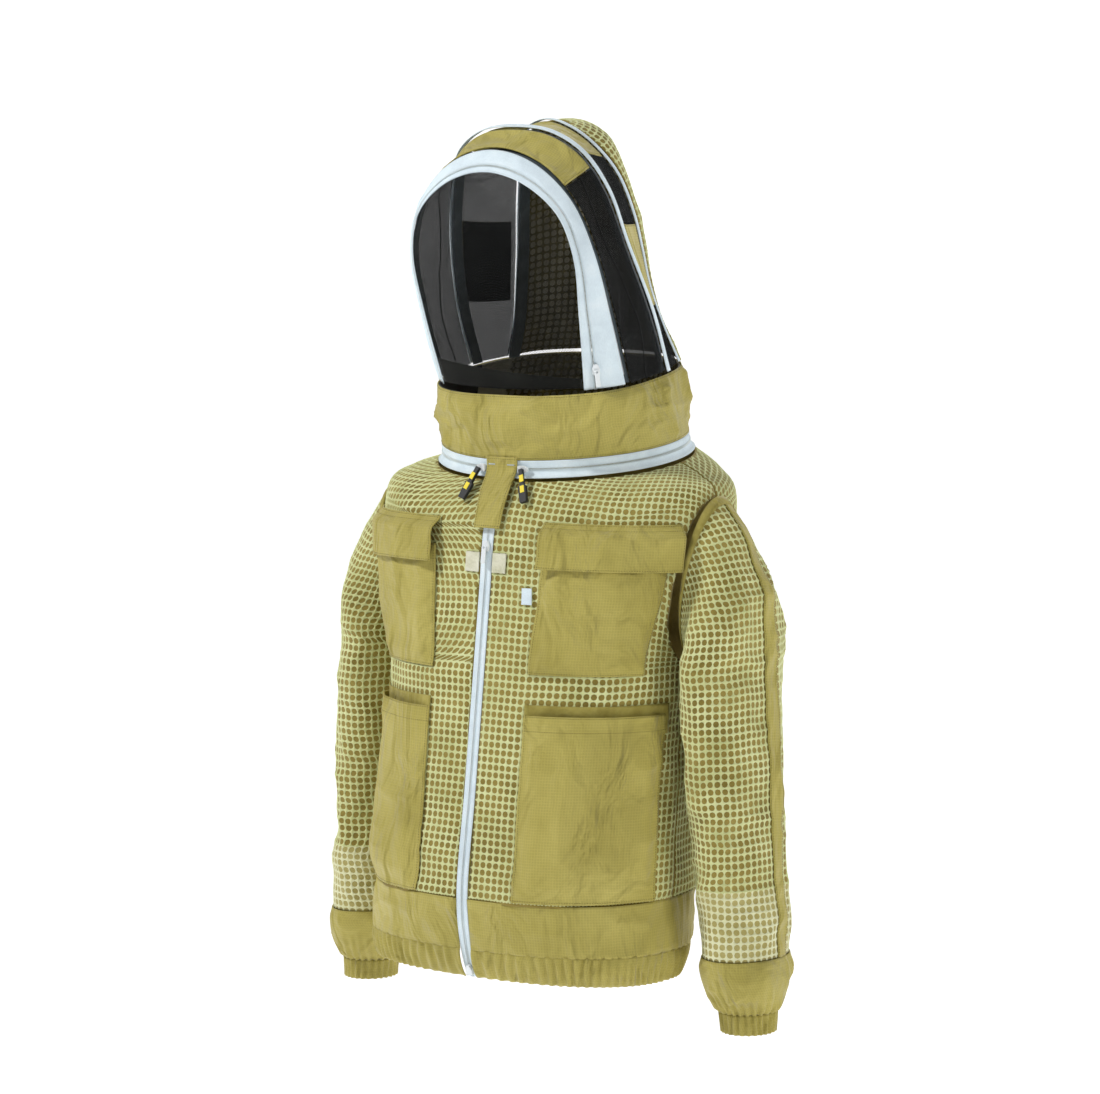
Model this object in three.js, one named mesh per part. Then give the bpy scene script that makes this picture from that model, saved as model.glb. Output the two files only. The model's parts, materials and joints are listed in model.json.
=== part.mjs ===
// A beekeeper's ventilated jacket with a zip-off fencing hood, empty and upright as it is worn.
// Millimetres. +Z is up, the front faces -Y and the wearer's left is +X.
// The origin is at the shoulder rest, on the wearer's spine line, level with the neck zip.
import * as THREE from "three";

// ---- driving dimensions -------------------------------------------------------------------

// Cloth thicknesses.
const MESH_CLOTH = 4; // the three-layer ventilated fabric
const PLAIN_CLOTH = 1.6; // cotton ripstop, doubled and hemmed
const NET_CLOTH = 1.2; // black netting
const TAPE = 1.2; // zip tape and binding
const SEAM_GAP = 0.6; // clearance between two pieces that are sewn edge to edge
const LAYER_GAP = 0.8; // clearance between two pieces that lie on each other

// Neck ring: the oval, tilted line of the zip that joins hood and jacket.
const NECK_HALF_WIDTH = 164;
const NECK_HALF_DEPTH = 136;
const NECK_CENTRE = new THREE.Vector3(0, 25, 4);
const NECK_TILT = 8.8; // degrees, front down
const ZIP_TAPE_WIDTH = 10; // one side of a zip
const LOWER_TAPE_FLARE = 6; // how far the lower neck tape spreads over the shoulders

// Collar.
const COLLAR_HEIGHT = 80;
const COLLAR_TOP_HALF_WIDTH = 148;
const COLLAR_TOP_HALF_DEPTH = 131;
const COLLAR_TOP_SQUARENESS = 2.6;
const LINING_HEIGHT = 72;

// Torso: the level, half width, half depth and centre of each section down the body.
const BODY_SQUARENESS = 2.4;
const YOKE = { side: -24, front: -52, back: -14, a: 205, b: 146, y: 21 };
const SHOULDER = { side: -50, front: -88, back: -68, a: 234, b: 150, y: 11.3 };
const CHEST = { side: -150, front: -160, back: -155, a: 226, b: 152, y: 4 };
const UNDERARM = { side: -252, front: -252, back: -252, a: 203, b: 152, y: -7.8 };
const BELLY = { side: -400, front: -400, back: -400, a: 203, b: 154, y: -24.9 };
const WAIST = { side: -541, front: -541, back: -541, a: 205, b: 156, y: -41 };
const HEM_TOP = { side: -603, front: -603, back: -603, a: 211, b: 136, y: -52 };
const HEM_END = { side: -639, front: -639, back: -639, a: 207, b: 117, y: -58 };
const ARMHOLE_HALF_DEPTH = 58;
const ELASTIC_WIDTH = 28;
const ELASTIC_THICKNESS = 2;

// Sleeve: level, half width, half depth and centre of each section.
const SLEEVE_TOP = { z: -262, a: 50, b: 90, x: 258, y: 8 };
const SLEEVE_END = { z: -607, a: 47, b: 67, x: 285, y: 2 };
const WRIST_TOP = { z: -676, a: 33, b: 37, x: 290, y: 0 };
const WRIST_END = { z: -701, a: 31, b: 35, x: 291, y: 0 };
const ARMPIT = { x: 205, z: -249 };
const SHOULDER_REACH = 204; // from the armpit up to the shoulder tip
const SHOULDER_LEAN = 9; // degrees that the armhole leans outward

// Front zip.
const FRONT_ZIP_HALF_WIDTH = 8;
const ZIP_CHAIN_GAP = 0.8; // between the two facing rows of teeth
const SLIDER_LENGTH = 13;
const SLIDER_WIDTH = 9;
const SLIDER_HEIGHT = 4;
const TAB_LENGTH = 22;
const TAB_WIDTH = 6;
const TAB_THICKNESS = 1.4;

// Pockets, given by their angle round the body from the front and by their levels.
const POCKET_INNER = 16.5;
const CHEST_POCKET = { outer: 66, top: -112, bottom: -262, depth: 9 };
const CHEST_FLAP = { outer: 71, top: -78, bottom: -134, depth: 15 };
const LOWER_POCKET = { outer: 79, top: -311, bottom: -537, depth: 11 };

// Throat flap, its fastening and the size label.
const FLAP_WIDTH = 46;
const FLAP_TIP_WIDTH = 36;
const FLAP_LENGTH = 92;
const PAD_WIDTH = 20;
const PAD_ASIDE = 2; // from the zip's tape to each pad
const THROAT_START = 3; // the flap clears the collar by this much at the neck seam
const THROAT_FROM = 0.03; // shares of the front line that the flap's lower half follows
const THROAT_TO = 0.13;
const POUCH_EDGE = 0.12; // share of a pouch's side over which it rises from the cloth
const FLAP_EDGE = 0.3; // share of a flap's depth over which it rises from the cloth
const HEAD_BLEND = 0.7; // share of the sleeve head by which it has the tube's depth
const HEAD_BULGE = 9;
const PAD_HEIGHT = 24;
const LABEL_WIDTH = 14;
const LABEL_HEIGHT = 20;

// Hood: half of each hoop, from the crown down to the collar, and the line of the back seam.
const VEIL_EDGE = [
  [0, -150, 345],
  [58, -149, 331],
  [104, -143, 294],
  [120, -133, 245],
  [116, -115, 172],
  [105, -88, 79],
];
const ARCH_EDGE = [
  [0, -132, 373],
  [62, -131, 357],
  [112, -124, 313],
  [138, -112, 250],
  [144, -84, 170],
  [143, -49, 86],
];
const MIDDLE_HOOP = [
  [0, -87, 399],
  [50, -80, 393],
  [90, -70, 369],
  [115, -51, 323],
  [130, -33, 260],
  [145, 1, 175],
  [147, 34, 98],
];
const REAR_HOOP = [
  [0, -12, 407],
  [32, -8, 397],
  [55, 9, 375],
  [72, 33, 340],
  [85, 49, 290],
  [91, 57, 250],
  [98, 64, 204],
  [110, 76, 155],
  [128, 87, 106],
];
const BACK_SEAM = [
  [0, -12, 407],
  [0, 35, 409],
  [0, 74, 392],
  [0, 94, 348],
  [0, 101, 260],
  [0, 108, 200],
  [0, 122, 150],
  [0, 135, 114],
];
const HOOP_TAPE_WIDTH = 9; // white binding over each hoop
const CASING_WIDTH = 16; // grey tape inside the hood that holds each hoop
const STAY_RADIUS = 1.3; // sprung wire
const FRONT_CROWN_SHARE = 0.3; // how far down the hoops the cloth crown reaches
const REAR_CROWN_SHARE = 0.24;
const PATCH_FROM = 0.5;
const PATCH_TO = 0.78;
const VEIL_BULGE = 17;
const VEIL_DIP = 4; // the veil's foot follows the collar down in the middle
const VEIL_TOP_BULGE = 0.45; // share of the bulge at the crown
const VEIL_SHOULDER = 60; // half width at which the veil reaches its full bulge
const VEIL_WIDTH_SHARE = 0.985;
const BAND_MARGIN = 0.03; // share of the white band left bare along its outer edge
const PATCH_MARGIN = 0.06; // share of the rear gore left between a patch and the tapes
const HOOD_BACK_FROM = 0.07; // the back starts this share of the way down the rear hoop
const SEAM_FROM = 0.06; // shares of the back seam that the back covers
const SEAM_TO = 0.985;
const HOOD_BACK_MARGIN = 0.035; // share of each row kept clear of the rear hoop

// Rubber grips on the neck zip.
const GRIP_LENGTH = 24;
const GRIP_SHOULDER = 3; // from the loop to the grip's widest point
const GRIP_TAPER = 0.8; // width of the grip's end as a share of its widest
const GRIP_WIDTH = 11;
const GRIP_THICKNESS = 5;
const LOOP_LENGTH = 20;
const LOOP_RADIUS = 1.3;

// ---- materials ----------------------------------------------------------------------------

const finish = (color, roughness) =>
  new THREE.MeshStandardMaterial({ color, roughness, metalness: 0, side: THREE.DoubleSide });
const meshFabric = finish("#b5ab68", 0.9);
const ripstop = finish("#aa9e50", 0.85);
const blackNet = finish("#1c1e1f", 0.8);
const blackCloth = finish("#16160e", 0.9);
const whiteTape = finish("#dcebf2", 0.7);
const greyTape = finish("#4b5558", 0.8);
const elastic = finish("#d8d5c8", 0.8);
const velcro = finish("#cfcba8", 0.95);
const rubber = finish("#17181a", 0.6);
const enamel = finish("#eef3f5", 0.35);
const wire = new THREE.MeshStandardMaterial({ color: "#9a9c9e", roughness: 0.3, metalness: 1 });

// ---- helpers ------------------------------------------------------------------------------

const root = new THREE.Group();
const radians = THREE.MathUtils.degToRad;
const lerp = THREE.MathUtils.lerp;
const clamp = THREE.MathUtils.clamp;
const vector = (x, y, z) => new THREE.Vector3(x, y, z);

function add(name, geometry, material, parent = root) {
  const mesh = new THREE.Mesh(geometry, material);
  mesh.name = name;
  parent.add(mesh);
  return mesh;
}

// Reflects a geometry in the plane x = 0, keeping its faces outward.
function mirrored(geometry) {
  const copy = geometry.clone();
  copy.scale(-1, 1, 1);
  const corners = copy.index.array;
  for (let i = 0; i < corners.length; i += 3) {
    const first = corners[i];
    corners[i] = corners[i + 1];
    corners[i + 1] = first;
  }
  return copy;
}

// A left piece and its mirrored right twin.
function addPair(name, geometry, material) {
  add(name + "_left", geometry, material);
  add(name + "_right", mirrored(geometry), material);
}

// The unit normal of surface(u, v), outward where v runs down and u runs from front to left.
function outward(surface, u, v, ring) {
  const step = 0.004;
  const [u0, u1] = ring ? [u - step, u + step] : [Math.max(u - step, 0), Math.min(u + step, 1)];
  const along = surface(u1, v).sub(surface(u0, v));
  const down = surface(u, Math.min(v + step, 1)).sub(surface(u, Math.max(v - step, 0)));
  return down.cross(along).normalize();
}

// A closed cloth of even thickness behind surface(u, v). A ring joins u = 1 to u = 0.
function cloth(surface, columns, rows, thickness, { ring = false, levels = null } = {}) {
  const across = ring ? columns : columns + 1;
  const positions = [];
  const index = [];
  for (const depth of [0, thickness])
    for (let j = 0; j <= rows; j++)
      for (let i = 0; i < across; i++) {
        const u = i / columns;
        const v = levels ? levels[j] : j / rows;
        const normal = outward(surface, u, v, ring);
        positions.push(...surface(u, v).addScaledVector(normal, -depth).toArray());
      }
  const outer = (i, j) => j * across + (i % across);
  const inner = (i, j) => (rows + 1) * across + outer(i, j);
  const quad = (a, b, c, d) => index.push(a, b, c, c, b, d);
  for (let j = 0; j < rows; j++)
    for (let i = 0; i < columns; i++) {
      quad(outer(i, j), outer(i, j + 1), outer(i + 1, j), outer(i + 1, j + 1));
      quad(inner(i, j), inner(i + 1, j), inner(i, j + 1), inner(i + 1, j + 1));
    }
  for (let i = 0; i < columns; i++) {
    quad(outer(i, 0), outer(i + 1, 0), inner(i, 0), inner(i + 1, 0));
    quad(outer(i, rows), inner(i, rows), outer(i + 1, rows), inner(i + 1, rows));
  }
  for (let j = 0; j < rows && !ring; j++) {
    quad(outer(0, j), inner(0, j), outer(0, j + 1), inner(0, j + 1));
    quad(outer(columns, j), outer(columns, j + 1), inner(columns, j), inner(columns, j + 1));
  }
  const geometry = new THREE.BufferGeometry();
  geometry.setAttribute("position", new THREE.Float32BufferAttribute(positions, 3));
  geometry.setIndex(index);
  geometry.computeVertexNormals();
  return geometry;
}

// The same surface moved out along its own normal by a distance that may depend on u and v.
function lifted(surface, distance, ring = false) {
  const height = typeof distance === "function" ? distance : () => distance;
  return (u, v) => surface(u, v).addScaledVector(outward(surface, u, v, ring), height(u, v));
}

// Spreads u or v over a share of its range.
const part = (surface, u0, u1, v0, v1) => (u, v) => surface(lerp(u0, u1, u), lerp(v0, v1, v));

// A rod of round section along a curve.
function rod(curve, radius, steps, sides = 8) {
  const section = new THREE.Shape();
  for (let i = 0; i < sides; i++) {
    const angle = (2 * Math.PI * i) / sides;
    const point = [radius * Math.cos(angle), radius * Math.sin(angle)];
    if (i) section.lineTo(...point);
    else section.moveTo(...point);
  }
  section.closePath();
  return new THREE.ExtrudeGeometry(section, { steps, extrudePath: curve, bevelEnabled: false });
}

// A plate with rounded corners, standing in XZ, top centre at the origin, thickness along -Y.
function plate(width, length, thickness, corner, hole = 0) {
  const shape = new THREE.Shape();
  const half = width / 2;
  shape.moveTo(-half + corner, 0);
  shape.lineTo(half - corner, 0);
  shape.quadraticCurveTo(half, 0, half, -corner);
  shape.lineTo(half, -length + corner);
  shape.quadraticCurveTo(half, -length, half - corner, -length);
  shape.lineTo(-half + corner, -length);
  shape.quadraticCurveTo(-half, -length, -half, -length + corner);
  shape.lineTo(-half, -corner);
  shape.quadraticCurveTo(-half, 0, -half + corner, 0);
  if (hole) {
    const opening = new THREE.Path();
    opening.absarc(0, -hole * 1.6, hole, 0, 2 * Math.PI, false);
    shape.holes.push(opening);
  }
  const geometry = new THREE.ExtrudeGeometry(shape, {
    depth: thickness,
    bevelEnabled: false,
    curveSegments: 5,
  });
  return geometry.rotateX(Math.PI / 2);
}

// A group at a place, whose +Z runs along upAxis and whose -Y is nearest to outwardAxis.
function framed(place, outwardAxis, upAxis) {
  const up = upAxis.clone().normalize();
  const side = up.clone().cross(outwardAxis).normalize();
  const back = up.clone().cross(side);
  const group = new THREE.Group();
  group.quaternion.setFromRotationMatrix(new THREE.Matrix4().makeBasis(side, back, up));
  group.position.copy(place);
  root.add(group);
  return group;
}

// ---- neck and collar ----------------------------------------------------------------------

const neckUp = vector(0, -Math.sin(radians(NECK_TILT)), Math.cos(radians(NECK_TILT)));
const neckBack = vector(0, Math.cos(radians(NECK_TILT)), Math.sin(radians(NECK_TILT)));

// An oval of four arcs that meet on its diagonals; turn is 0 at the front and 90 at the left.
function oval(turn, a, b) {
  const shift = (a - b) / (2 - Math.SQRT2);
  const angle = radians(turn);
  const front = Math.abs(Math.cos(angle)) > Math.SQRT1_2;
  const radius = front ? b + shift : a - shift;
  const centreX = front ? 0 : shift * Math.sign(Math.sin(angle));
  const centreY = front ? shift * Math.sign(Math.cos(angle)) : 0;
  return [centreX + radius * Math.sin(angle), centreY - radius * Math.cos(angle)];
}

function superOval(turn, a, b, squareness) {
  const angle = radians(turn);
  const power = (value) => Math.sign(value) * Math.abs(value) ** (2 / squareness);
  return [a * power(Math.sin(angle)), -b * power(Math.cos(angle))];
}

// A point of the tilted neck frame: x and y in its plane, height along its axis.
const onNeck = (x, y, height) =>
  vector(x, 0, 0).add(NECK_CENTRE).addScaledVector(neckBack, y).addScaledVector(neckUp, height);

const neckRing = (turn, height, spread) =>
  onNeck(...oval(turn, NECK_HALF_WIDTH + spread, NECK_HALF_DEPTH + spread), height);

const collarBase = ZIP_TAPE_WIDTH + SEAM_GAP;
const collarTop = collarBase + COLLAR_HEIGHT;

// The collar's outer face; share is 0 at its foot and 1 at its top edge.
function collarFace(turn, share) {
  const foot = neckRing(turn, collarBase, 0);
  const [x, y] = superOval(
    turn,
    COLLAR_TOP_HALF_WIDTH,
    COLLAR_TOP_HALF_DEPTH,
    COLLAR_TOP_SQUARENESS,
  );
  return foot.lerp(onNeck(x, y, collarTop), share);
}

const fullTurn = (u) => 360 * u;
const RING_SIDES = 40;
add(
  "collar",
  cloth((u, v) => collarFace(fullTurn(u), 1 - v), RING_SIDES, 2, PLAIN_CLOTH, { ring: true }),
  ripstop,
);
const liningShare = LINING_HEIGHT / COLLAR_HEIGHT;
const liningFace = lifted(
  (u, v) => collarFace(fullTurn(u), lerp(0.99, 1 - liningShare, v)),
  -PLAIN_CLOTH - LAYER_GAP,
  true,
);
add("collar_lining", cloth(liningFace, RING_SIDES, 1, PLAIN_CLOTH, { ring: true }), blackCloth);

const upperNeckTape = (u, v) => neckRing(fullTurn(u), lerp(ZIP_TAPE_WIDTH, SEAM_GAP, v), 0);
add("neck_zip_tape_upper", cloth(upperNeckTape, RING_SIDES, 1, TAPE, { ring: true }), whiteTape);
const lowerNeckTape = (u, v) =>
  neckRing(fullTurn(u), lerp(-SEAM_GAP, -ZIP_TAPE_WIDTH, v), LOWER_TAPE_FLARE * v ** 3);
add("neck_zip_tape_lower", cloth(lowerNeckTape, RING_SIDES, 1, TAPE, { ring: true }), whiteTape);

// ---- torso --------------------------------------------------------------------------------

const bodySections = [YOKE, SHOULDER, CHEST, UNDERARM, BELLY, WAIST];

function sectionPoint(section, turn) {
  const [x, y] = superOval(turn, section.a, section.b, BODY_SQUARENESS);
  const cosine = Math.cos(radians(turn));
  const end = cosine > 0 ? section.front : section.back;
  return vector(x, section.y + y, lerp(section.side, end, cosine * cosine));
}

// The jacket's outer face. level 0 is the neck tape, then 1 for each section down to the waist.
function bodyFace(turn, level) {
  const rows = [
    neckRing(turn, -ZIP_TAPE_WIDTH - MESH_CLOTH, LOWER_TAPE_FLARE + SEAM_GAP),
    ...bodySections.map((section) => sectionPoint(section, turn)),
  ];
  const start = clamp(Math.floor(level), 0, rows.length - 2);
  const before = rows[Math.max(start - 1, 0)];
  const after = rows[Math.min(start + 2, rows.length - 1)];
  const t = level - start;
  const from = rows[start];
  const to = rows[start + 1];
  // Catmull-Rom along the height, with slopes from the neighbouring sections.
  const blend = (key) => {
    const slopeFrom = (to[key] - before[key]) / 2;
    const slopeTo = (after[key] - from[key]) / 2;
    const t2 = t * t;
    const t3 = t2 * t;
    return (
      (2 * t3 - 3 * t2 + 1) * from[key] +
      (t3 - 2 * t2 + t) * slopeFrom +
      (3 * t2 - 2 * t3) * to[key] +
      (t3 - t2) * slopeTo
    );
  };
  return vector(blend("x"), blend("y"), blend("z"));
}

const SHOULDER_LEVEL = 2;
const UNDERARM_LEVEL = 4;
const WAIST_LEVEL = 6;

// The level at which the body's face reaches height z on the given turn.
function levelAt(turn, z) {
  let low = 0;
  let high = WAIST_LEVEL;
  for (let i = 0; i < 24; i++) {
    const middle = (low + high) / 2;
    if (bodyFace(turn, middle).z > z) low = middle;
    else high = middle;
  }
  return (low + high) / 2;
}

// How far from the side line the armhole has cut a panel back, in degrees, at a level.
function armholeCut(level) {
  const share = (level - (SHOULDER_LEVEL + UNDERARM_LEVEL) / 2) / (UNDERARM_LEVEL - SHOULDER_LEVEL);
  const opening = Math.sqrt(Math.max(0, 1 - 4 * share * share));
  const reach = (ARMHOLE_HALF_DEPTH * opening) / CHEST.b;
  return 90 - THREE.MathUtils.radToDeg(Math.acos(reach ** (BODY_SQUARENESS / 2)));
}

// The turn at which the body's face lies a set distance beside the centre line.
function turnBeside(distance, level) {
  let low = 0;
  let high = 90;
  for (let i = 0; i < 20; i++) {
    const middle = (low + high) / 2;
    if (bodyFace(middle, level).x < distance) low = middle;
    else high = middle;
  }
  return (low + high) / 2;
}

const seamTurn = 0.15; // degrees that each panel keeps from a seam
const panelLevels = [0, 0.5, 1, 1.5, 2, 2.1, 2.4, 3, 3.6, 3.9, 4, 4.5, 5, 5.5, 6];
const panelShares = panelLevels.map((level) => level / WAIST_LEVEL);
const panelRows = panelLevels.length - 1;
const frontEdge = FRONT_ZIP_HALF_WIDTH + SEAM_GAP;

function frontPanel(u, v) {
  const level = v * WAIST_LEVEL;
  const inner = turnBeside(frontEdge, level);
  return bodyFace(lerp(inner, 90 - seamTurn - armholeCut(level), u), level);
}
addPair(
  "front_panel",
  cloth(frontPanel, 8, panelRows, MESH_CLOTH, { levels: panelShares }),
  meshFabric,
);

function backPanel(u, v) {
  const level = v * WAIST_LEVEL;
  const start = 90 + seamTurn + armholeCut(level);
  return bodyFace(lerp(start, 360 - start, u), level);
}
add(
  "back_panel",
  cloth(backPanel, 14, panelRows, MESH_CLOTH, { levels: panelShares }),
  meshFabric,
);

// The waist band and the gathered hem run round the body from one zip tape to the other.
function bandFace(from, to) {
  return (u, v) => {
    const section = {};
    for (const key of Object.keys(from)) section[key] = lerp(from[key], to[key], v);
    const inner = Math.asin((frontEdge / section.a) ** (BODY_SQUARENESS / 2));
    const turn = THREE.MathUtils.radToDeg(inner);
    return sectionPoint(section, lerp(turn, 360 - turn, u));
  };
}
const below = (section, drop) => {
  const moved = { ...section };
  for (const key of ["side", "front", "back"]) moved[key] -= drop;
  return moved;
};
add(
  "waist_band",
  cloth(bandFace(below(WAIST, 2 * SEAM_GAP), HEM_TOP), 36, 2, PLAIN_CLOTH),
  ripstop,
);
const hemCasing = bandFace(below(HEM_TOP, SEAM_GAP), HEM_END);
add("hem_casing", cloth(hemCasing, 36, 1, PLAIN_CLOTH), ripstop);
const hemHeight = HEM_TOP.side - HEM_END.side;
const hemMargin = (1 - ELASTIC_WIDTH / hemHeight) / 2;
const elasticFace = lifted(
  part(hemCasing, 0.004, 0.996, hemMargin, 1 - hemMargin),
  -PLAIN_CLOTH - LAYER_GAP,
);
add("hem_elastic", cloth(elasticFace, 36, 1, ELASTIC_THICKNESS), elastic);

// ---- front zip ----------------------------------------------------------------------------

// The centre line of the front, from the neck tape down over waist and hem.
const frontLine = new THREE.CatmullRomCurve3(
  [
    ...[0.02, 1, 2, 3, 4, 5, 6].map((level) => bodyFace(0, level)),
    sectionPoint(HEM_TOP, 0),
    sectionPoint(HEM_END, 0),
  ],
  false,
  "centripetal",
);
function frontTape(u, v) {
  const x = lerp(ZIP_CHAIN_GAP / 2, FRONT_ZIP_HALF_WIDTH, u);
  return frontLine.getPointAt(v).add(vector(x, 0, 0));
}
addPair("main_zip_tape", cloth(frontTape, 1, 24, TAPE), whiteTape);

const lineNormal = (curve, share) => {
  const along = curve.getTangentAt(share);
  return vector(0, along.z, -along.y).normalize();
};

// A slider body with its wedge nose, and the tab that hangs from its bridge.
const NOSE_WIDTH_SHARE = 0.5;
const SHOULDER_SHARE = 0.4; // share of the slider's length where its sides turn straight
function sliderGeometry() {
  const outline = new THREE.Shape();
  const half = SLIDER_WIDTH / 2;
  outline.moveTo(-half * NOSE_WIDTH_SHARE, 0);
  outline.lineTo(half * NOSE_WIDTH_SHARE, 0);
  outline.lineTo(half, -SLIDER_LENGTH * SHOULDER_SHARE);
  outline.lineTo(half, -SLIDER_LENGTH);
  outline.lineTo(-half, -SLIDER_LENGTH);
  outline.lineTo(-half, -SLIDER_LENGTH * SHOULDER_SHARE);
  outline.closePath();
  const body = new THREE.ExtrudeGeometry(outline, { depth: SLIDER_HEIGHT, bevelEnabled: false });
  return body.rotateX(Math.PI / 2);
}

// Adds a slider on a face, and returns the frame that it sits in.
function addSlider(name, place, facing, up, material) {
  const frame = framed(place.clone().addScaledVector(facing, LAYER_GAP), facing, up);
  add(name, sliderGeometry(), material, frame);
  return frame;
}

function addTab(name, frame, drop = SLIDER_LENGTH * 0.5) {
  const tab = plate(TAB_WIDTH, TAB_LENGTH, TAB_THICKNESS, 1.5, 1.6);
  const mesh = add(name, tab, enamel, frame);
  mesh.position.set(0, -SLIDER_HEIGHT - LAYER_GAP, -drop);
  return mesh;
}

const upward = (curve, share) => curve.getTangentAt(share).negate();
const topShare = 0.125; // shares of the front line from the neck down
const topFrame = addSlider(
  "main_zip_top_slider",
  frontLine.getPointAt(topShare),
  lineNormal(frontLine, topShare),
  upward(frontLine, topShare),
  enamel,
);
addTab("main_zip_top_tab", topFrame);
const bottomShare = 0.972;
addSlider(
  "main_zip_bottom_slider",
  frontLine.getPointAt(bottomShare),
  lineNormal(frontLine, bottomShare),
  upward(frontLine, bottomShare),
  enamel,
);

// The rubber grip that hangs on a short cord loop from a neck slider, as one outline.
const PULL_STANDOFF = SLIDER_HEIGHT + 4 * LAYER_GAP;
const PULL_DROP = LOOP_LENGTH + GRIP_LENGTH;
const PULL_CLEARANCE = 3; // between the grip and the chest
function pullGeometry() {
  const neck = LOOP_RADIUS * 2;
  const half = GRIP_WIDTH / 2;
  const outline = new THREE.Shape();
  outline.moveTo(-neck, 0);
  outline.lineTo(neck, 0);
  outline.lineTo(neck, -LOOP_LENGTH);
  outline.lineTo(half, -LOOP_LENGTH - GRIP_SHOULDER);
  outline.lineTo(half * GRIP_TAPER, -LOOP_LENGTH - GRIP_LENGTH);
  outline.lineTo(-half * GRIP_TAPER, -LOOP_LENGTH - GRIP_LENGTH);
  outline.lineTo(-half, -LOOP_LENGTH - GRIP_SHOULDER);
  outline.lineTo(-neck, -LOOP_LENGTH);
  outline.closePath();
  const body = new THREE.ExtrudeGeometry(outline, { depth: GRIP_THICKNESS, bevelEnabled: false });
  return body.rotateX(Math.PI / 2);
}

// ---- pockets ------------------------------------------------------------------------------

const FACE_GAP = 0.7; // what a sewn-on piece keeps from the cloth below it

// A patch of the body's face between two turns and two heights, u across and v down.
function bodyPatch(innerTurn, outerTurn, top, bottom) {
  return (u, v) => {
    const turn = lerp(innerTurn, outerTurn, u);
    return bodyFace(turn, levelAt(turn, lerp(top, bottom, v)));
  };
}

// A height that rises from the cloth over a margin at the sides and foot, and stays open above.
function pouchHeight(depth) {
  const rise = (x) => THREE.MathUtils.smoothstep(x, 0, POUCH_EDGE);
  return (u, v) => FACE_GAP + PLAIN_CLOTH + depth * rise(Math.min(u, 1 - u)) * rise(1 - v);
}

// A height for a flap that leaves the cloth at its top seam and lies over the pouch's mouth.
function flapHeight(depth) {
  const rise = (x) => THREE.MathUtils.smoothstep(x, 0, FLAP_EDGE);
  return (u, v) => FACE_GAP + PLAIN_CLOTH + depth * rise(v);
}

function addPocket(name, spec, columns, rows) {
  const patch = bodyPatch(POCKET_INNER, spec.outer, spec.top, spec.bottom);
  addPair(name, cloth(lifted(patch, pouchHeight(spec.depth)), columns, rows, PLAIN_CLOTH), ripstop);
}
addPocket("chest_pocket", CHEST_POCKET, 8, 6);
addPocket("lower_pocket", LOWER_POCKET, 10, 6);

const flapPatch = bodyPatch(POCKET_INNER - 0.6, CHEST_FLAP.outer, CHEST_FLAP.top, CHEST_FLAP.bottom);
addPair(
  "chest_flap",
  cloth(lifted(flapPatch, flapHeight(CHEST_FLAP.depth)), 6, 3, PLAIN_CLOTH),
  ripstop,
);

// ---- throat flap, pads and label ----------------------------------------------------------

const flapTopLevel = 14; // above the neck zip
const throatTop = neckRing(0, flapTopLevel, 0);
const throatLift = 9; // the flap passes over the slider of the front zip
const flapLine = new THREE.CatmullRomCurve3([
  throatTop.clone().add(vector(0, -PLAIN_CLOTH - LAYER_GAP, 0)),
  neckRing(0, 0, PLAIN_CLOTH + THROAT_START),
  frontLine.getPointAt(THROAT_FROM).add(vector(0, -throatLift, 0)),
  frontLine.getPointAt(THROAT_TO).add(vector(0, -throatLift - 2, 0)),
]);
function throatFlap(u, v) {
  const half = lerp(FLAP_WIDTH, FLAP_TIP_WIDTH, v) / 2;
  return flapLine.getPointAt(v).add(vector(lerp(-half, half, u), 0, 0));
}
const throatShape = part(throatFlap, 0, 1, 0, Math.min(1, FLAP_LENGTH / flapLine.getLength()));
add("throat_flap", cloth(throatShape, 2, 8, PLAIN_CLOTH), ripstop);

const padTop = -118;
const padPatch = (u, v) => {
  const x = lerp(FRONT_ZIP_HALF_WIDTH + PAD_ASIDE, FRONT_ZIP_HALF_WIDTH + PAD_ASIDE + PAD_WIDTH, u);
  const level = levelAt(4, lerp(padTop, padTop - PAD_HEIGHT, v));
  return bodyFace(turnBeside(x, level), level);
};
addPair("velcro_pad", cloth(lifted(padPatch, FACE_GAP + TAPE), 2, 2, TAPE), velcro);

const labelInner = 56;
const labelPatch = (u, v) => {
  const level = levelAt(12, lerp(-158, -158 - LABEL_HEIGHT, v));
  return bodyFace(turnBeside(lerp(labelInner, labelInner + LABEL_WIDTH, u), level), level);
};
add("size_label", cloth(lifted(labelPatch, FACE_GAP + TAPE), 1, 2, TAPE / 2), whiteTape);

// ---- sleeves ------------------------------------------------------------------------------

const sleeveTurn = (u) => 2 * Math.PI * u;

// A ring of the sleeve tube between two sections, u from the armpit side forward and round.
function sleeveFace(from, to) {
  return (u, v) => {
    const section = {};
    for (const key of Object.keys(from)) section[key] = lerp(from[key], to[key], v);
    const x = section.x - section.a * Math.cos(sleeveTurn(u));
    const y = section.y - section.b * Math.sin(sleeveTurn(u));
    return vector(x, y, section.z);
  };
}

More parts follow.
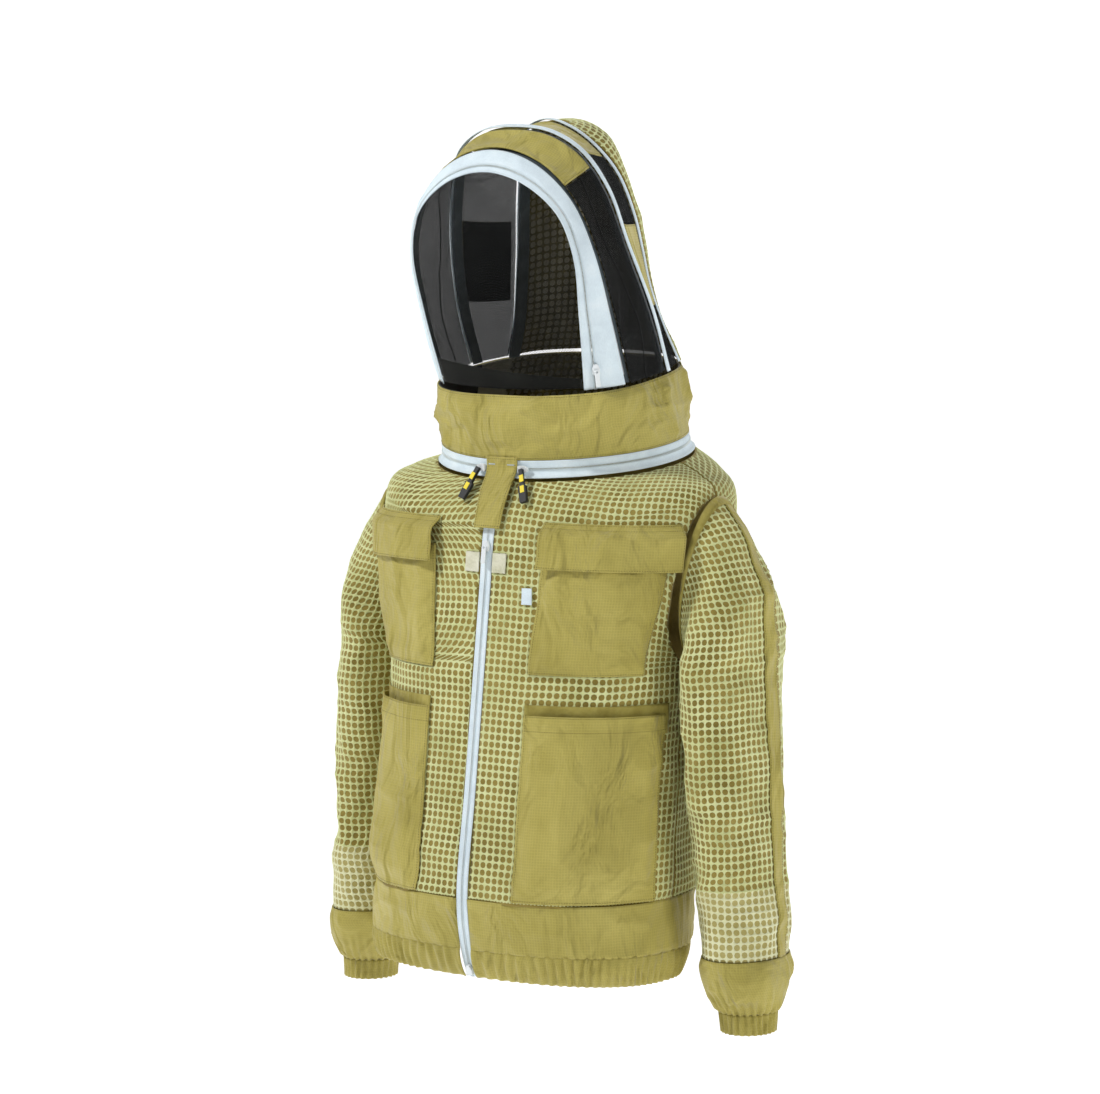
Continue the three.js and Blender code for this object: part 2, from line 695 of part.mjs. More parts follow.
// The sleeve head is a fan of rings that turn about the armpit, from the upright armhole to the
// level top of the tube.
function sleeveHead(u, v) {
  const lean = radians(lerp(SHOULDER_LEAN, 90, v));
  const fade = 1 - v;
  const tubeWidth = 2 * SLEEVE_TOP.a;
  const reach = tubeWidth + (SHOULDER_REACH - tubeWidth) * fade * fade;
  const tubeInner = SLEEVE_TOP.x - SLEEVE_TOP.a;
  const startX = lerp(ARMPIT.x, tubeInner, v);
  const startZ = lerp(ARMPIT.z, SLEEVE_TOP.z + MESH_CLOTH, v);
  const half = lerp(ARMHOLE_HALF_DEPTH, SLEEVE_TOP.b, THREE.MathUtils.smoothstep(v, 0, HEAD_BLEND));
  const centre = (reach / 2) * (1 - Math.cos(sleeveTurn(u)));
  const y = lerp(CHEST.y, SLEEVE_TOP.y, v) - half * Math.sin(sleeveTurn(u));
  return vector(startX + centre * Math.sin(lean), y, startZ + centre * Math.cos(lean));
}
const HEAD_CLEARANCE = 5; // keeps the head outside the panels' cut edges
const headFace = (u, v) => {
  const point = sleeveHead(u, v);
  return point.add(vector(HEAD_CLEARANCE * (1 - v), 0, 0));
};
const SLEEVE_SIDES = 18;
addPair("sleeve_head", cloth(headFace, SLEEVE_SIDES, 6, MESH_CLOTH, { ring: true }), meshFabric);
const tubeFace = sleeveFace(SLEEVE_TOP, { ...SLEEVE_END, z: SLEEVE_END.z + SEAM_GAP });
addPair("sleeve_tube", cloth(tubeFace, SLEEVE_SIDES, 2, MESH_CLOTH, { ring: true }), meshFabric);
const cuffFace = (u, v) => {
  const bulge = HEAD_BULGE * Math.sin(Math.PI * v) * (1 - v * 0.5);
  const point = sleeveFace(SLEEVE_END, { ...WRIST_TOP, z: WRIST_TOP.z + SEAM_GAP })(u, v);
  return point.add(vector(-bulge * Math.cos(sleeveTurn(u)), -bulge * Math.sin(sleeveTurn(u)), 0));
};
addPair("sleeve_cuff", cloth(cuffFace, SLEEVE_SIDES, 4, PLAIN_CLOTH, { ring: true }), ripstop);
const wristFace = sleeveFace(WRIST_TOP, WRIST_END);
addPair("wrist_elastic", cloth(wristFace, SLEEVE_SIDES, 1, PLAIN_CLOTH * 2, { ring: true }), ripstop);

// ---- hood ---------------------------------------------------------------------------------

// Half a hoop as a curve from the crown to the collar.
const halfHoop = (points) =>
  new THREE.CatmullRomCurve3(
    [
      vector(-points[1][0], points[1][1], points[1][2]),
      ...points.map((point) => vector(...point)),
    ],
    false,
    "centripetal",
  );

// A hoop as a function of a share from -1 at the right foot over 0 at the crown to 1 at the left.
function hoop(points) {
  const curve = halfHoop(points);
  const lengths = curve.getLengths(400);
  const crown = lengths.findIndex((_, i) => curve.getPoint(i / 400).x >= 0) / 400;
  const total = lengths[400];
  const start = lengths[Math.round(crown * 400)] / total;
  return (share) => {
    const point = curve.getPointAt(lerp(start, 1, Math.min(Math.abs(share), 1)));
    if (Math.abs(share) < 1e-9) point.x = 0;
    if (share < 0) point.x = -point.x;
    return point;
  };
}
const veilEdge = hoop(VEIL_EDGE);
const archEdge = hoop(ARCH_EDGE);
const middleHoop = hoop(MIDDLE_HOOP);
const rearHoop = hoop(REAR_HOOP);
const seamLine = new THREE.CatmullRomCurve3(BACK_SEAM.map((point) => vector(...point)));

// The gore between two hoops: u from the right foot to the left foot, v from rear to front.
const gore = (front, rear) => (u, v) => rear(2 * u - 1).lerp(front(2 * u - 1), v);

const shareToU = (share) => (share + 1) / 2;
const bandGore = gore(veilEdge, archEdge);
const frontGore = gore(archEdge, middleHoop);
const rearGore = gore(middleHoop, rearHoop);

const downTo = 0.993; // the gores stop this share short of the feet, above the collar's edge
const frontHoodMargin = 0.1; // shares of a gore that its hoops' tapes cover
const rearHoodMargin = 0.08;

const veilTapeFrom = 0.7; // share of the white band where its inner tape begins
const bandFaceAt = (v0, v1) => part(bandGore, shareToU(-downTo), shareToU(downTo), v0, v1);
add("veil_zip_tape_outer", cloth(bandFaceAt(BAND_MARGIN, veilTapeFrom - 0.01), 32, 1, TAPE), whiteTape);
add("veil_zip_tape_inner", cloth(bandFaceAt(veilTapeFrom + 0.02, 0.98), 32, 1, TAPE), whiteTape);

function addGore(name, surface, fromShare, toShare, columns, margin, thickness, material) {
  const face = part(surface, shareToU(fromShare), shareToU(toShare), margin, 1 - margin);
  return [name, cloth(face, columns, 2, thickness), material];
}
add(
  ...addGore(
    "crown_panel_front",
    frontGore,
    -FRONT_CROWN_SHARE,
    FRONT_CROWN_SHARE,
    10,
    frontHoodMargin,
    PLAIN_CLOTH,
    ripstop,
  ),
);
add(
  ...addGore(
    "crown_panel_rear",
    rearGore,
    -REAR_CROWN_SHARE,
    REAR_CROWN_SHARE,
    10,
    rearHoodMargin,
    PLAIN_CLOTH,
    ripstop,
  ),
);
const netGap = 0.006;
addPair(
  ...addGore(
    "side_net",
    frontGore,
    FRONT_CROWN_SHARE + netGap,
    downTo,
    9,
    frontHoodMargin,
    NET_CLOTH,
    blackNet,
  ),
);
addPair(
  ...addGore(
    "rear_net",
    rearGore,
    REAR_CROWN_SHARE + netGap,
    downTo,
    9,
    rearHoodMargin,
    NET_CLOTH,
    blackNet,
  ),
);
const patchFace = part(
  rearGore,
  shareToU(PATCH_FROM),
  shareToU(PATCH_TO),
  rearHoodMargin + PATCH_MARGIN,
  1 - rearHoodMargin - PATCH_MARGIN,
);
addPair(
  "side_patch",
  cloth(lifted(patchFace, LAYER_GAP + PLAIN_CLOTH), 4, 2, PLAIN_CLOTH),
  ripstop,
);

const BACK_MARGIN = 5; // from the rear hoop to the back's cut edge

// The back: each row is half an ellipse from the rear hoop round over the back seam.
function hoodBack(u, v) {
  const share = lerp(HOOD_BACK_FROM, downTo, v);
  const side = rearHoop(share).add(vector(0, BACK_MARGIN, 0));
  const seam = seamLine.getPointAt(lerp(SEAM_FROM, SEAM_TO, v));
  const angle = Math.PI * lerp(HOOD_BACK_MARGIN, 1 - HOOD_BACK_MARGIN, u) - Math.PI / 2;
  const centre = vector(0, side.y, side.z);
  const reach = seam.clone().sub(centre);
  return centre
    .addScaledVector(reach, Math.cos(angle))
    .add(vector(-side.x * Math.sin(angle), 0, 0));
}
add("hood_back", cloth(hoodBack, 14, 10, MESH_CLOTH), meshFabric);

// White binding over the middle and rear hoops, grey casing and sprung wire inside them.
function hoopStrip(curve, before, after, width, lift) {
  return (u, v) => {
    const share = lerp(-downTo, downTo, u);
    const point = curve(share);
    const forward = before(share).sub(point).normalize();
    const rearward = after(share).sub(point).normalize();
    const across = rearward.sub(forward).normalize();
    const along = curve(Math.min(share + 0.01, 1)).sub(curve(Math.max(share - 0.01, -1)));
    const out = along.cross(across).normalize();
    return point.addScaledVector(across, lerp(0.5, -0.5, v) * width).addScaledVector(out, lift);
  };
}
const backGuide = (share) => {
  const ridge = seamLine.getPointAt(Math.min(Math.abs(share) * 0.9 + 0.1, 1));
  return rearHoop(share).lerp(vector(rearHoop(share).x * 0.85, ridge.y, rearHoop(share).z), 0.5);
};
const HOOP_COLUMNS = 28;
const bindingLift = TAPE + 2 * LAYER_GAP;
const casingLift = -(MESH_CLOTH + 3 * LAYER_GAP);
const stayLift = -(TAPE + LAYER_GAP + STAY_RADIUS);
const STAY_POINTS = 16;
const stayReach = 0.96; // the wire stops short of the collar, in the end of its casing
const hoops = [
  { name: "front", curve: archEdge, before: veilEdge, after: middleHoop },
  { name: "middle", curve: middleHoop, before: archEdge, after: rearHoop },
  { name: "rear", curve: rearHoop, before: middleHoop, after: backGuide },
];
for (const { name, curve, before, after } of hoops) {
  if (name !== "front") {
    const strip = hoopStrip(curve, before, after, HOOP_TAPE_WIDTH, bindingLift);
    add("hoop_binding_" + name, cloth(strip, HOOP_COLUMNS, 1, TAPE), whiteTape);
  }
  const casing = hoopStrip(curve, before, after, CASING_WIDTH, casingLift);
  add("hoop_casing_" + name, cloth(casing, HOOP_COLUMNS, 1, TAPE), greyTape);
  const wireLine = [];
  for (let i = 0; i <= STAY_POINTS; i++) {
    const share = lerp(-stayReach, stayReach, i / STAY_POINTS);
    const face = hoopStrip(curve, before, after, 0, stayLift);
    wireLine.push(face((share / downTo + 1) / 2, 0.5));
  }
  const wireCurve = new THREE.CatmullRomCurve3(wireLine, false, "centripetal");
  add("hoop_stay_" + name, rod(wireCurve, STAY_RADIUS, 24, 6), wire);
}

// ---- veil ---------------------------------------------------------------------------------

// Rows of netting from leg to leg of the veil's edge, full at the foot and flat near the crown.
const VEIL_TOP = 0.06;
const VEIL_FOOT = 0.985;
function veilFace(u, v) {
  const share = lerp(VEIL_TOP, VEIL_FOOT, v);
  const side = 2 * u - 1;
  const edge = veilEdge(share);
  const bulge = VEIL_BULGE * lerp(VEIL_TOP_BULGE, 1, v) * Math.min(1, edge.x / VEIL_SHOULDER);
  const dip = VEIL_DIP * v ** 8 * (1 - side * side);
  return vector(edge.x * side * VEIL_WIDTH_SHARE, edge.y - bulge * (1 - side * side), edge.z - dip);
}
add("veil_net", cloth(veilFace, 10, 12, NET_CLOTH), blackNet);

const VEIL_SLIDER_SHARE = 0.9;
// Both keep the opening veil's tape clear of the slider's underside.
const VEIL_SLIDER_LIFT = 0.6;
const VEIL_SLIDER_ASIDE = 1.5;
const legPoint = (share) => bandGore(shareToU(share), veilTapeFrom);
const legStep = 0.05;
const legUp = legPoint(VEIL_SLIDER_SHARE - legStep).sub(legPoint(VEIL_SLIDER_SHARE)).normalize();
const legOut = outward(bandGore, shareToU(VEIL_SLIDER_SHARE), veilTapeFrom);
const legAcross = new THREE.Vector3().crossVectors(legUp, legOut).normalize();
const legPlace = legPoint(VEIL_SLIDER_SHARE)
  .addScaledVector(legOut, VEIL_SLIDER_LIFT)
  .addScaledVector(legAcross, VEIL_SLIDER_ASIDE);
const veilFrame = addSlider("veil_slider", legPlace, legOut, legUp, enamel);
addTab("veil_slider_tab", veilFrame);

// ---- neck sliders -------------------------------------------------------------------------

// Each slider closes its half of the neck zip and stops beside the throat flap.
const NECK_SLIDER_TURN = 9.6;
function neckSlider(turn) {
  const place = neckRing(turn, 0, 0);
  const facing = neckRing(turn, 0, 1).sub(neckRing(turn, 0, 0)).normalize();
  const along = facing.clone().cross(neckUp);
  return { place, facing, along };
}
for (const [side, sign] of [
  ["left", 1],
  ["right", -1],
]) {
  const { place, facing, along } = neckSlider(sign * NECK_SLIDER_TURN);
  const toward = along.multiplyScalar(sign);
  const name = "neck_slider_" + side;
  const start = place.clone().addScaledVector(toward, -SLIDER_LENGTH / 2);
  addSlider(name, start.addScaledVector(facing, 2 * LAYER_GAP), facing, toward.clone().negate(), enamel);
  const eye = place.clone().addScaledVector(facing, PULL_STANDOFF);
  const turn = sign * NECK_SLIDER_TURN;
  const chest = bodyFace(turn, levelAt(turn, eye.z - PULL_DROP)).add(vector(0, -PULL_CLEARANCE, 0));
  const pull = framed(eye, facing, eye.clone().sub(chest));
  add("neck_pull_" + side, pullGeometry(), rubber, pull);
}

export default root;
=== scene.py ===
# %% [markdown]
# # A beekeeper's ventilated jacket with a zip-off fencing hood
# The real thing is sewn from flat cloth: a three-layer lattice fabric for body, sleeves and hood back,
# plain ripstop for collar, pockets and cuffs, and black netting held open by sprung hoops. The joints and
# the pieces that move come with the loaded frame. This lesson gives each piece its cloth, seams and folds,
# in the same places, so everything below is made on the rules that shape the frame's own solids.

# %% Load the frame and keep its box
import itertools
import json
import math
import bmesh
import bpy
import numpy as np
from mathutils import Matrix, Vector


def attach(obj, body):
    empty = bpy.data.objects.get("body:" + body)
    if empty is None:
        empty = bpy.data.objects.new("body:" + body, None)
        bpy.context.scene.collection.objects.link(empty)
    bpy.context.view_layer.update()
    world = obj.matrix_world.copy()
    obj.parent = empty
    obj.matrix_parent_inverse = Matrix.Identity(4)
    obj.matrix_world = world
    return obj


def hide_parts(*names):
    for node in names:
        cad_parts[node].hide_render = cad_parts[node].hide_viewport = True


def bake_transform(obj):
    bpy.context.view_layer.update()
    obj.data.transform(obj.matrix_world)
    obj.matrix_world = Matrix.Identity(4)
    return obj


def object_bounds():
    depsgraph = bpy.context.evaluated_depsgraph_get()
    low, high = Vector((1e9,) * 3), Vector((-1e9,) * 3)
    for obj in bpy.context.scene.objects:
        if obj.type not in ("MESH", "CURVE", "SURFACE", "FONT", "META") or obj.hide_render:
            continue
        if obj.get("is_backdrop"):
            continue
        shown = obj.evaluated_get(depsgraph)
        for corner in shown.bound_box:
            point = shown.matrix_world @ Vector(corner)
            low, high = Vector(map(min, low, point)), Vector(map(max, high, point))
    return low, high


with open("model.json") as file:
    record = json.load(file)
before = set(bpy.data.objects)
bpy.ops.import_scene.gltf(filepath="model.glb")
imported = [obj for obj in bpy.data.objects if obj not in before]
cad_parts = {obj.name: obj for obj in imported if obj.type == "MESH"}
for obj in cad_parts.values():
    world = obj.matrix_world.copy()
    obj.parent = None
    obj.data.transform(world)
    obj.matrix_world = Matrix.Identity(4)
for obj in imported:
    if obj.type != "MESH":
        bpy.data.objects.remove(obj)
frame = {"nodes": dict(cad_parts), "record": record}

cad_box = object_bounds()
BODY_OF = {node: body for body, nodes in frame["record"]["behaviour"]["bodies"].items() for node in nodes}

# %% [markdown]
# ## Camera, light and floor
# A long lens from the jacket's front left keeps its lines parallel, as a catalogue view does. A dim white
# dome with three soft lamps, the strongest high on the left, shows the folds. The floor is where the wearer
# would stand, so it stays plain.

# %% Camera
AZIMUTH, ELEVATION = math.radians(35), math.radians(6)
DISTANCE = 5.16
LOOK_AT = np.array([-0.0041, -0.0029, -0.1236])
away = np.array([
    math.sin(AZIMUTH) * math.cos(ELEVATION), -math.cos(AZIMUTH) * math.cos(ELEVATION), math.sin(ELEVATION),
])


def aimed(obj, place, target):
    """Puts a camera or lamp at a place, looking at a target."""
    from mathutils import Vector
    obj.location = place
    obj.rotation_euler = (Vector(target) - Vector(place)).to_track_quat("-Z", "Y").to_euler()
    bpy.context.scene.collection.objects.link(obj)
    return obj


lens = bpy.data.cameras.new("catalogue_camera")
lens.lens, lens.sensor_width = 135, 36
camera = aimed(bpy.data.objects.new("catalogue_camera", lens), LOOK_AT + DISTANCE * away, LOOK_AT)
bpy.context.scene.camera = camera
bpy.context.scene.view_settings.view_transform = "Standard"
print("camera at", [round(float(x), 3) for x in camera.location])

# %% Lamps and dome
def soft_lamp(name, place, size, watts, target=(0, 0, -0.15)):
    lamp = bpy.data.lights.new(name, "AREA")
    lamp.shape, lamp.size, lamp.energy = "DISK", size, watts
    return aimed(bpy.data.objects.new(name, lamp), place, target)


soft_lamp("key_lamp", (-1.9, -2.1, 2.5), 0.55, 96)
soft_lamp("side_lamp", (3.0, -0.6, 1.2), 1.0, 30)
soft_lamp("rear_lamp", (-1.0, 2.6, 1.8), 1.6, 16)
dome = bpy.data.worlds.new("studio_dome")
dome.use_nodes = True
dome.node_tree.nodes["Background"].inputs["Color"].default_value = (0.97, 0.985, 1.0, 1)
dome.node_tree.nodes["Background"].inputs["Strength"].default_value = 0.2
bpy.context.scene.world = dome

# %% Floor
FLOOR_LEVEL = -1.45  # the soles of the wearer's feet


def studio_floor():
    """A wide floor that turns up into a plain wall behind the jacket."""
    reach, bend, wall = 12.0, 1.5, 9.0
    profile = [(-reach, 0.0)] + [(
        6 + bend * math.sin(a), bend - bend * math.cos(a),
    ) for a in np.linspace(0, math.pi / 2, 9)]
    profile.append((6 + bend, wall))
    verts, faces = [], []
    for y, z in profile:
        verts += [(-reach, y, FLOOR_LEVEL + z), (reach, y, FLOOR_LEVEL + z)]
    for k in range(len(profile) - 1):
        faces.append((2 * k, 2 * k + 1, 2 * k + 3, 2 * k + 2))
    mesh = bpy.data.meshes.new("studio_floor")
    mesh.from_pydata(verts, [], faces)
    mesh.shade_smooth()
    floor = bpy.data.objects.new("studio_floor", mesh)
    bpy.context.scene.collection.objects.link(floor)
    paint = bpy.data.materials.new("floor_paint")
    paint.use_nodes = True
    shader = paint.node_tree.nodes["Principled BSDF"]
    shader.inputs["Base Color"].default_value = (0.93, 0.93, 0.93, 1)
    shader.inputs["Roughness"].default_value = 0.9
    shader.inputs["Emission Color"].default_value = (1, 1, 1, 1)
    shader.inputs["Emission Strength"].default_value = 0.62
    mesh.materials.append(paint)
    floor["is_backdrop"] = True
    return floor


studio_floor()

# %% [markdown]
# ## Cloth finishes
# Each finish is a weave at its true size. The pieces carry a flat pattern map in metres, as a paper pattern
# would be, so threads follow the cloth over every fold. Broad, faint clouds of tone keep large panels from
# looking printed.

# %% A helper for node graphs
class Graph:
    """A node graph that is written as nested calls."""

    def __init__(self, tree):
        self.tree = tree

    def node(self, kind, settings=None, **inputs):
        made = self.tree.nodes.new(kind)
        for key, value in (settings or {}).items():
            setattr(made, key, value)
        for key, value in inputs.items():
            self.feed(made.inputs[int(key[1:]) if key[0] == "_" else key.replace("_", " ")], value)
        return made

    def feed(self, socket, value):
        if isinstance(value, bpy.types.NodeSocket):
            self.tree.links.new(value, socket)
        else:
            socket.default_value = value

    def maths(self, operation, first, second=0.0, third=0.0):
        return self.node("ShaderNodeMath", {"operation": operation}, _0=first, _1=second, _2=third).outputs[0]


def srgb(red, green, blue):
    """A screen colour of 0 to 255 as linear light."""
    return tuple((c / 255 / 12.92 if c <= 10 else ((c / 255 + 0.055) / 1.055) ** 2.4) for c in (
        red, green, blue,
    )) + (1.0,)


# %% Woven and knitted cloth
def cloth_finish(
    name, tones, thread, relief, roughness=0.85, sheen=0.15, grid=0.0, grid_strength=0.0, cloud=14.0,
    alpha=1.0, wrinkle=0.0,
):
    """Cloth of three tones in soft clouds, with a plain weave of the given thread spacing in metres."""
    finish = bpy.data.materials.new(name)
    finish.use_nodes = True
    g = Graph(finish.node_tree)
    shader = finish.node_tree.nodes["Principled BSDF"]
    shader.inputs["Roughness"].default_value = roughness
    shader.inputs["Sheen Weight"].default_value = sheen
    shader.inputs["Specular IOR Level"].default_value = 0.25
    shader.inputs["Alpha"].default_value = alpha
    place = g.node("ShaderNodeTexCoord")
    clouds = g.node(
        "ShaderNodeTexNoise", Vector=place.outputs["Object"], Scale=cloud, Detail=5.0, Roughness=0.6,
    )
    ramp = g.node("ShaderNodeValToRGB", Fac=clouds.outputs[0])
    ramp.color_ramp.elements[0].position, ramp.color_ramp.elements[0].color = 0.3, tones[0]
    ramp.color_ramp.elements[1].position, ramp.color_ramp.elements[1].color = 0.72, tones[2]
    ramp.color_ramp.elements.new(0.5).color = tones[1]
    flat = g.node("ShaderNodeSeparateXYZ", Vector=place.outputs["UV"])
    turns = 2 * math.pi / thread
    warp = g.maths("SINE", g.maths("MULTIPLY", flat.outputs["X"], turns))
    weft = g.maths("SINE", g.maths("MULTIPLY", flat.outputs["Y"], turns))
    weave = g.maths("MULTIPLY_ADD", g.maths("MULTIPLY", warp, weft), 0.5, 0.5)
    fibre = g.node("ShaderNodeTexNoise", Vector=place.outputs["UV"], Scale=0.6 / thread, Detail=2.0)
    height = g.maths("MULTIPLY_ADD", fibre.outputs[0], 0.8, weave)
    if grid:
        step = 2 * math.pi / grid
        lines = [g.maths(
            "POWER",
            g.maths("ABSOLUTE", g.maths("COSINE", g.maths("MULTIPLY", flat.outputs[axis], step / 2))), 24.0,
        ) for axis in ("X", "Y")]
        rib = g.maths("MAXIMUM", *lines)
        height = g.maths("MULTIPLY_ADD", rib, 0.9, height)
    shade = g.maths("MULTIPLY_ADD", height, 0.22, 0.83)
    if grid_strength:
        shade = g.maths("MULTIPLY_ADD", rib, grid_strength, shade)
    colour = g.node("ShaderNodeMix", {"data_type": "RGBA", "blend_type": "MULTIPLY"})
    g.feed(colour.inputs[0], 1.0)
    g.feed(colour.inputs[6], ramp.outputs[0])
    g.feed(colour.inputs[7], shade)
    g.feed(shader.inputs["Base Color"], colour.outputs[2])
    bump = g.node("ShaderNodeBump", Height=height, Strength=0.5, Distance=relief)
    if wrinkle:
        stretched = g.node("ShaderNodeMapping", Vector=place.outputs["Object"], Scale=(19.0, 19.0, 10.0))
        folds = g.node(
            "ShaderNodeTexNoise", Vector=stretched.outputs[0], Scale=1.0, Detail=3.0, Distortion=0.8,
        )
        soft = g.node("ShaderNodeBump", Height=folds.outputs[0], Strength=1.0, Distance=wrinkle * 8)
        g.feed(bump.inputs["Normal"], soft.outputs[0])
    g.feed(shader.inputs["Normal"], bump.outputs[0])
    return finish


ripstop = cloth_finish(
    "ripstop", (srgb(160, 148, 72), srgb(172, 160, 82), srgb(182, 170, 92)), 0.0011, 0.0002, roughness=0.62,
    grid=0.0035, grid_strength=0.006, cloud=9.0, wrinkle=0.003,
)
ripstop_edge = cloth_finish(
    "ripstop_edge", (srgb(140, 128, 58), srgb(160, 148, 74), srgb(176, 164, 88)), 0.0011, 0.0002, cloud=40.0,
    wrinkle=0.002,
)
lattice_yarn = cloth_finish(
    "lattice_yarn", (srgb(186, 190, 128), srgb(205, 208, 148), srgb(216, 220, 164)), 0.0009, 0.0002,
    cloud=20.0, sheen=0.25,
)
spacer_knit = cloth_finish(
    "spacer_knit", (srgb(126, 110, 48), srgb(148, 130, 62), srgb(164, 147, 78)), 0.0017, 0.0006, cloud=24.0,
)
pale_yarn = cloth_finish(
    "pale_yarn", (srgb(206, 206, 158), srgb(218, 218, 174), srgb(226, 227, 188)), 0.0009, 0.0002, cloud=20.0,
    sheen=0.25,
)
pale_knit = cloth_finish(
    "pale_knit", (srgb(158, 146, 84), srgb(176, 164, 100), srgb(190, 178, 116)), 0.0017, 0.0006, cloud=24.0,
)
inner_knit = cloth_finish(
    "inner_knit", (srgb(126, 120, 100), srgb(146, 140, 120), srgb(162, 157, 138)), 0.0017, 0.0006,
    cloud=24.0,
)
# the lattice yarn darkened as painted shade, for the fabric's wrong side seen inside the hood and collar
inner_yarn_painted_shade = cloth_finish(
    "inner_yarn_painted_shade", (srgb(74, 66, 28), srgb(88, 79, 36), srgb(104, 94, 48)), 0.0009, 0.0002, cloud=20.0,
)
net_yarn = cloth_finish(
    "net_yarn", (srgb(14, 15, 15), srgb(22, 24, 24), srgb(32, 34, 34)), 0.0008, 0.0001, sheen=0.05,
)
side_haze = cloth_finish(
    "side_haze", (srgb(16, 17, 17), srgb(24, 26, 26), srgb(36, 38, 38)), 0.0016, 0.0001, sheen=0.05,
    alpha=0.66,
)
veil_haze = cloth_finish(
    "veil_haze", (srgb(30, 32, 32), srgb(40, 43, 43), srgb(52, 55, 55)), 0.0016, 0.0001, sheen=0.05,
    alpha=0.05,
)
white_tape = cloth_finish(
    "white_tape", (srgb(212, 226, 234), srgb(222, 236, 243), srgb(232, 243, 248)), 0.0012, 0.0002,
    cloud=30.0,
)
grey_tape = cloth_finish(
    "grey_tape", (srgb(64, 73, 76), srgb(75, 84, 88), srgb(92, 101, 104)), 0.0016, 0.0004, cloud=30.0,
)
black_lining = cloth_finish(
    "black_lining", (srgb(14, 14, 9), srgb(22, 22, 14), srgb(32, 32, 24)), 0.0012, 0.0002,
)
knit_elastic = cloth_finish(
    "knit_elastic", (srgb(196, 192, 176), srgb(212, 208, 194), srgb(224, 221, 210)), 0.0016, 0.0004,
)
loop_pile = cloth_finish(
    "loop_pile", (srgb(206, 204, 172), srgb(224, 222, 196), srgb(236, 234, 214)), 0.0013, 0.0008,
    roughness=0.95, sheen=0.4, cloud=60.0,
)
# dark khaki stitches: the thread's own colour, darkened by painted shade of the dents that the seams press into the
# cloth
thread_and_seam_shade = cloth_finish(
    "thread_and_seam_shade", (srgb(84, 74, 30), srgb(98, 88, 38), srgb(112, 100, 46)), 0.0006, 0.0001,
)
white_thread = cloth_finish(
    "white_thread", (srgb(205, 214, 214), srgb(222, 230, 230), srgb(235, 240, 240)), 0.0006, 0.0001,
)
print("finishes:", len(bpy.data.materials))


# %% Enamel, rubber and wire
def moulded_finish(name, colour, roughness, metal=0.0, grain=0.0001, scale=900.0, coat=0.0):
    """A hard finish with a fine grain in its colour and relief."""
    finish = bpy.data.materials.new(name)
    finish.use_nodes = True
    g = Graph(finish.node_tree)
    shader = finish.node_tree.nodes["Principled BSDF"]
    shader.inputs["Metallic"].default_value = metal
    shader.inputs["Coat Weight"].default_value = coat
    place = g.node("ShaderNodeTexCoord")
    grains = g.node("ShaderNodeTexNoise", Vector=place.outputs["Object"], Scale=scale, Detail=3.0)
    tint = g.node("ShaderNodeMix", {"data_type": "RGBA"})
    g.feed(tint.inputs[0], grains.outputs[0])
    g.feed(tint.inputs[6], tuple(c * 0.85 for c in colour[:3]) + (1,))
    g.feed(tint.inputs[7], tuple(min(1, c * 1.1) for c in colour[:3]) + (1,))
    g.feed(shader.inputs["Base Color"], tint.outputs[2])
    g.feed(shader.inputs["Roughness"], g.maths("MULTIPLY_ADD", grains.outputs[0], 0.15, roughness))
    g.feed(
        shader.inputs["Normal"],
        g.node("ShaderNodeBump", Height=grains.outputs[0], Strength=0.3, Distance=grain).outputs[0],
    )
    return finish


enamel = moulded_finish("slider_paint", srgb(236, 241, 243), 0.25, coat=0.3)
black_rubber = moulded_finish("black_rubber", srgb(24, 25, 27), 0.5)
yellow_rubber = moulded_finish("yellow_rubber", srgb(248, 222, 34), 0.45)
spring_wire = moulded_finish("sprung_wire", srgb(170, 172, 175), 0.3, metal=1.0)

# %% [markdown]
# ## Rules that shape the jacket
# Every surface is a small rule with two shares, u across and v down, in millimetres.
# They are the same rules as the frame's, so each cloth lies exactly where its solid is.
# Working on whole arrays at once keeps thousands of points quick.

# %% Small sums
MM = 0.001


def lerp(a, b, t):
    return a + (b - a) * t


def smooth(x, low, high):
    t = np.clip((x - low) / (high - low), 0, 1)
    return t * t * (3 - 2 * t)


def points(x, y, z):
    return np.stack(np.broadcast_arrays(np.asarray(x, float), y, z), -1)


def unit(v):
    return v / np.maximum(np.linalg.norm(v, axis=-1, keepdims=True), 1e-9)


class Line:
    """A smooth curve through points, read by a share of its length."""

    def __init__(self, through, steps=80):
        p = np.array(through, float)
        p = np.vstack([2 * p[0] - p[1], p, 2 * p[-1] - p[-2]])
        run = []
        for k in range(1, len(p) - 2):
            a, b, c, d = p[k - 1 : k + 3]
            ab, bc, cd = (max(np.linalg.norm(q - w), 1e-6) ** 0.5 for q, w in ((b, a), (c, b), (d, c)))
            out = ((b - a) / ab - (c - a) / (ab + bc) + (c - b) / bc) * bc
            into = ((c - b) / bc - (d - b) / (bc + cd) + (d - c) / cd) * bc
            t = np.linspace(0, 1, steps, endpoint=False)[:, None]
            run.append((2 * t**3 - 3 * t**2 + 1) * b + (t**3 - 2 * t**2 + t) * out + (3 * t**2 - 2 * t**3) * c + (t**3 - t**2) * into)
        self.points = np.vstack(run + [p[-2:-1]])
        gaps = np.linalg.norm(np.diff(self.points, axis=0), axis=1)
        self.lengths = np.concatenate([[0], np.cumsum(gaps)])
        self.total = self.lengths[-1]

    def at(self, share):
        distance = np.clip(share, 0, 1) * self.total
        return np.stack([np.interp(distance, self.lengths, self.points[:, k]) for k in range(3)], -1)


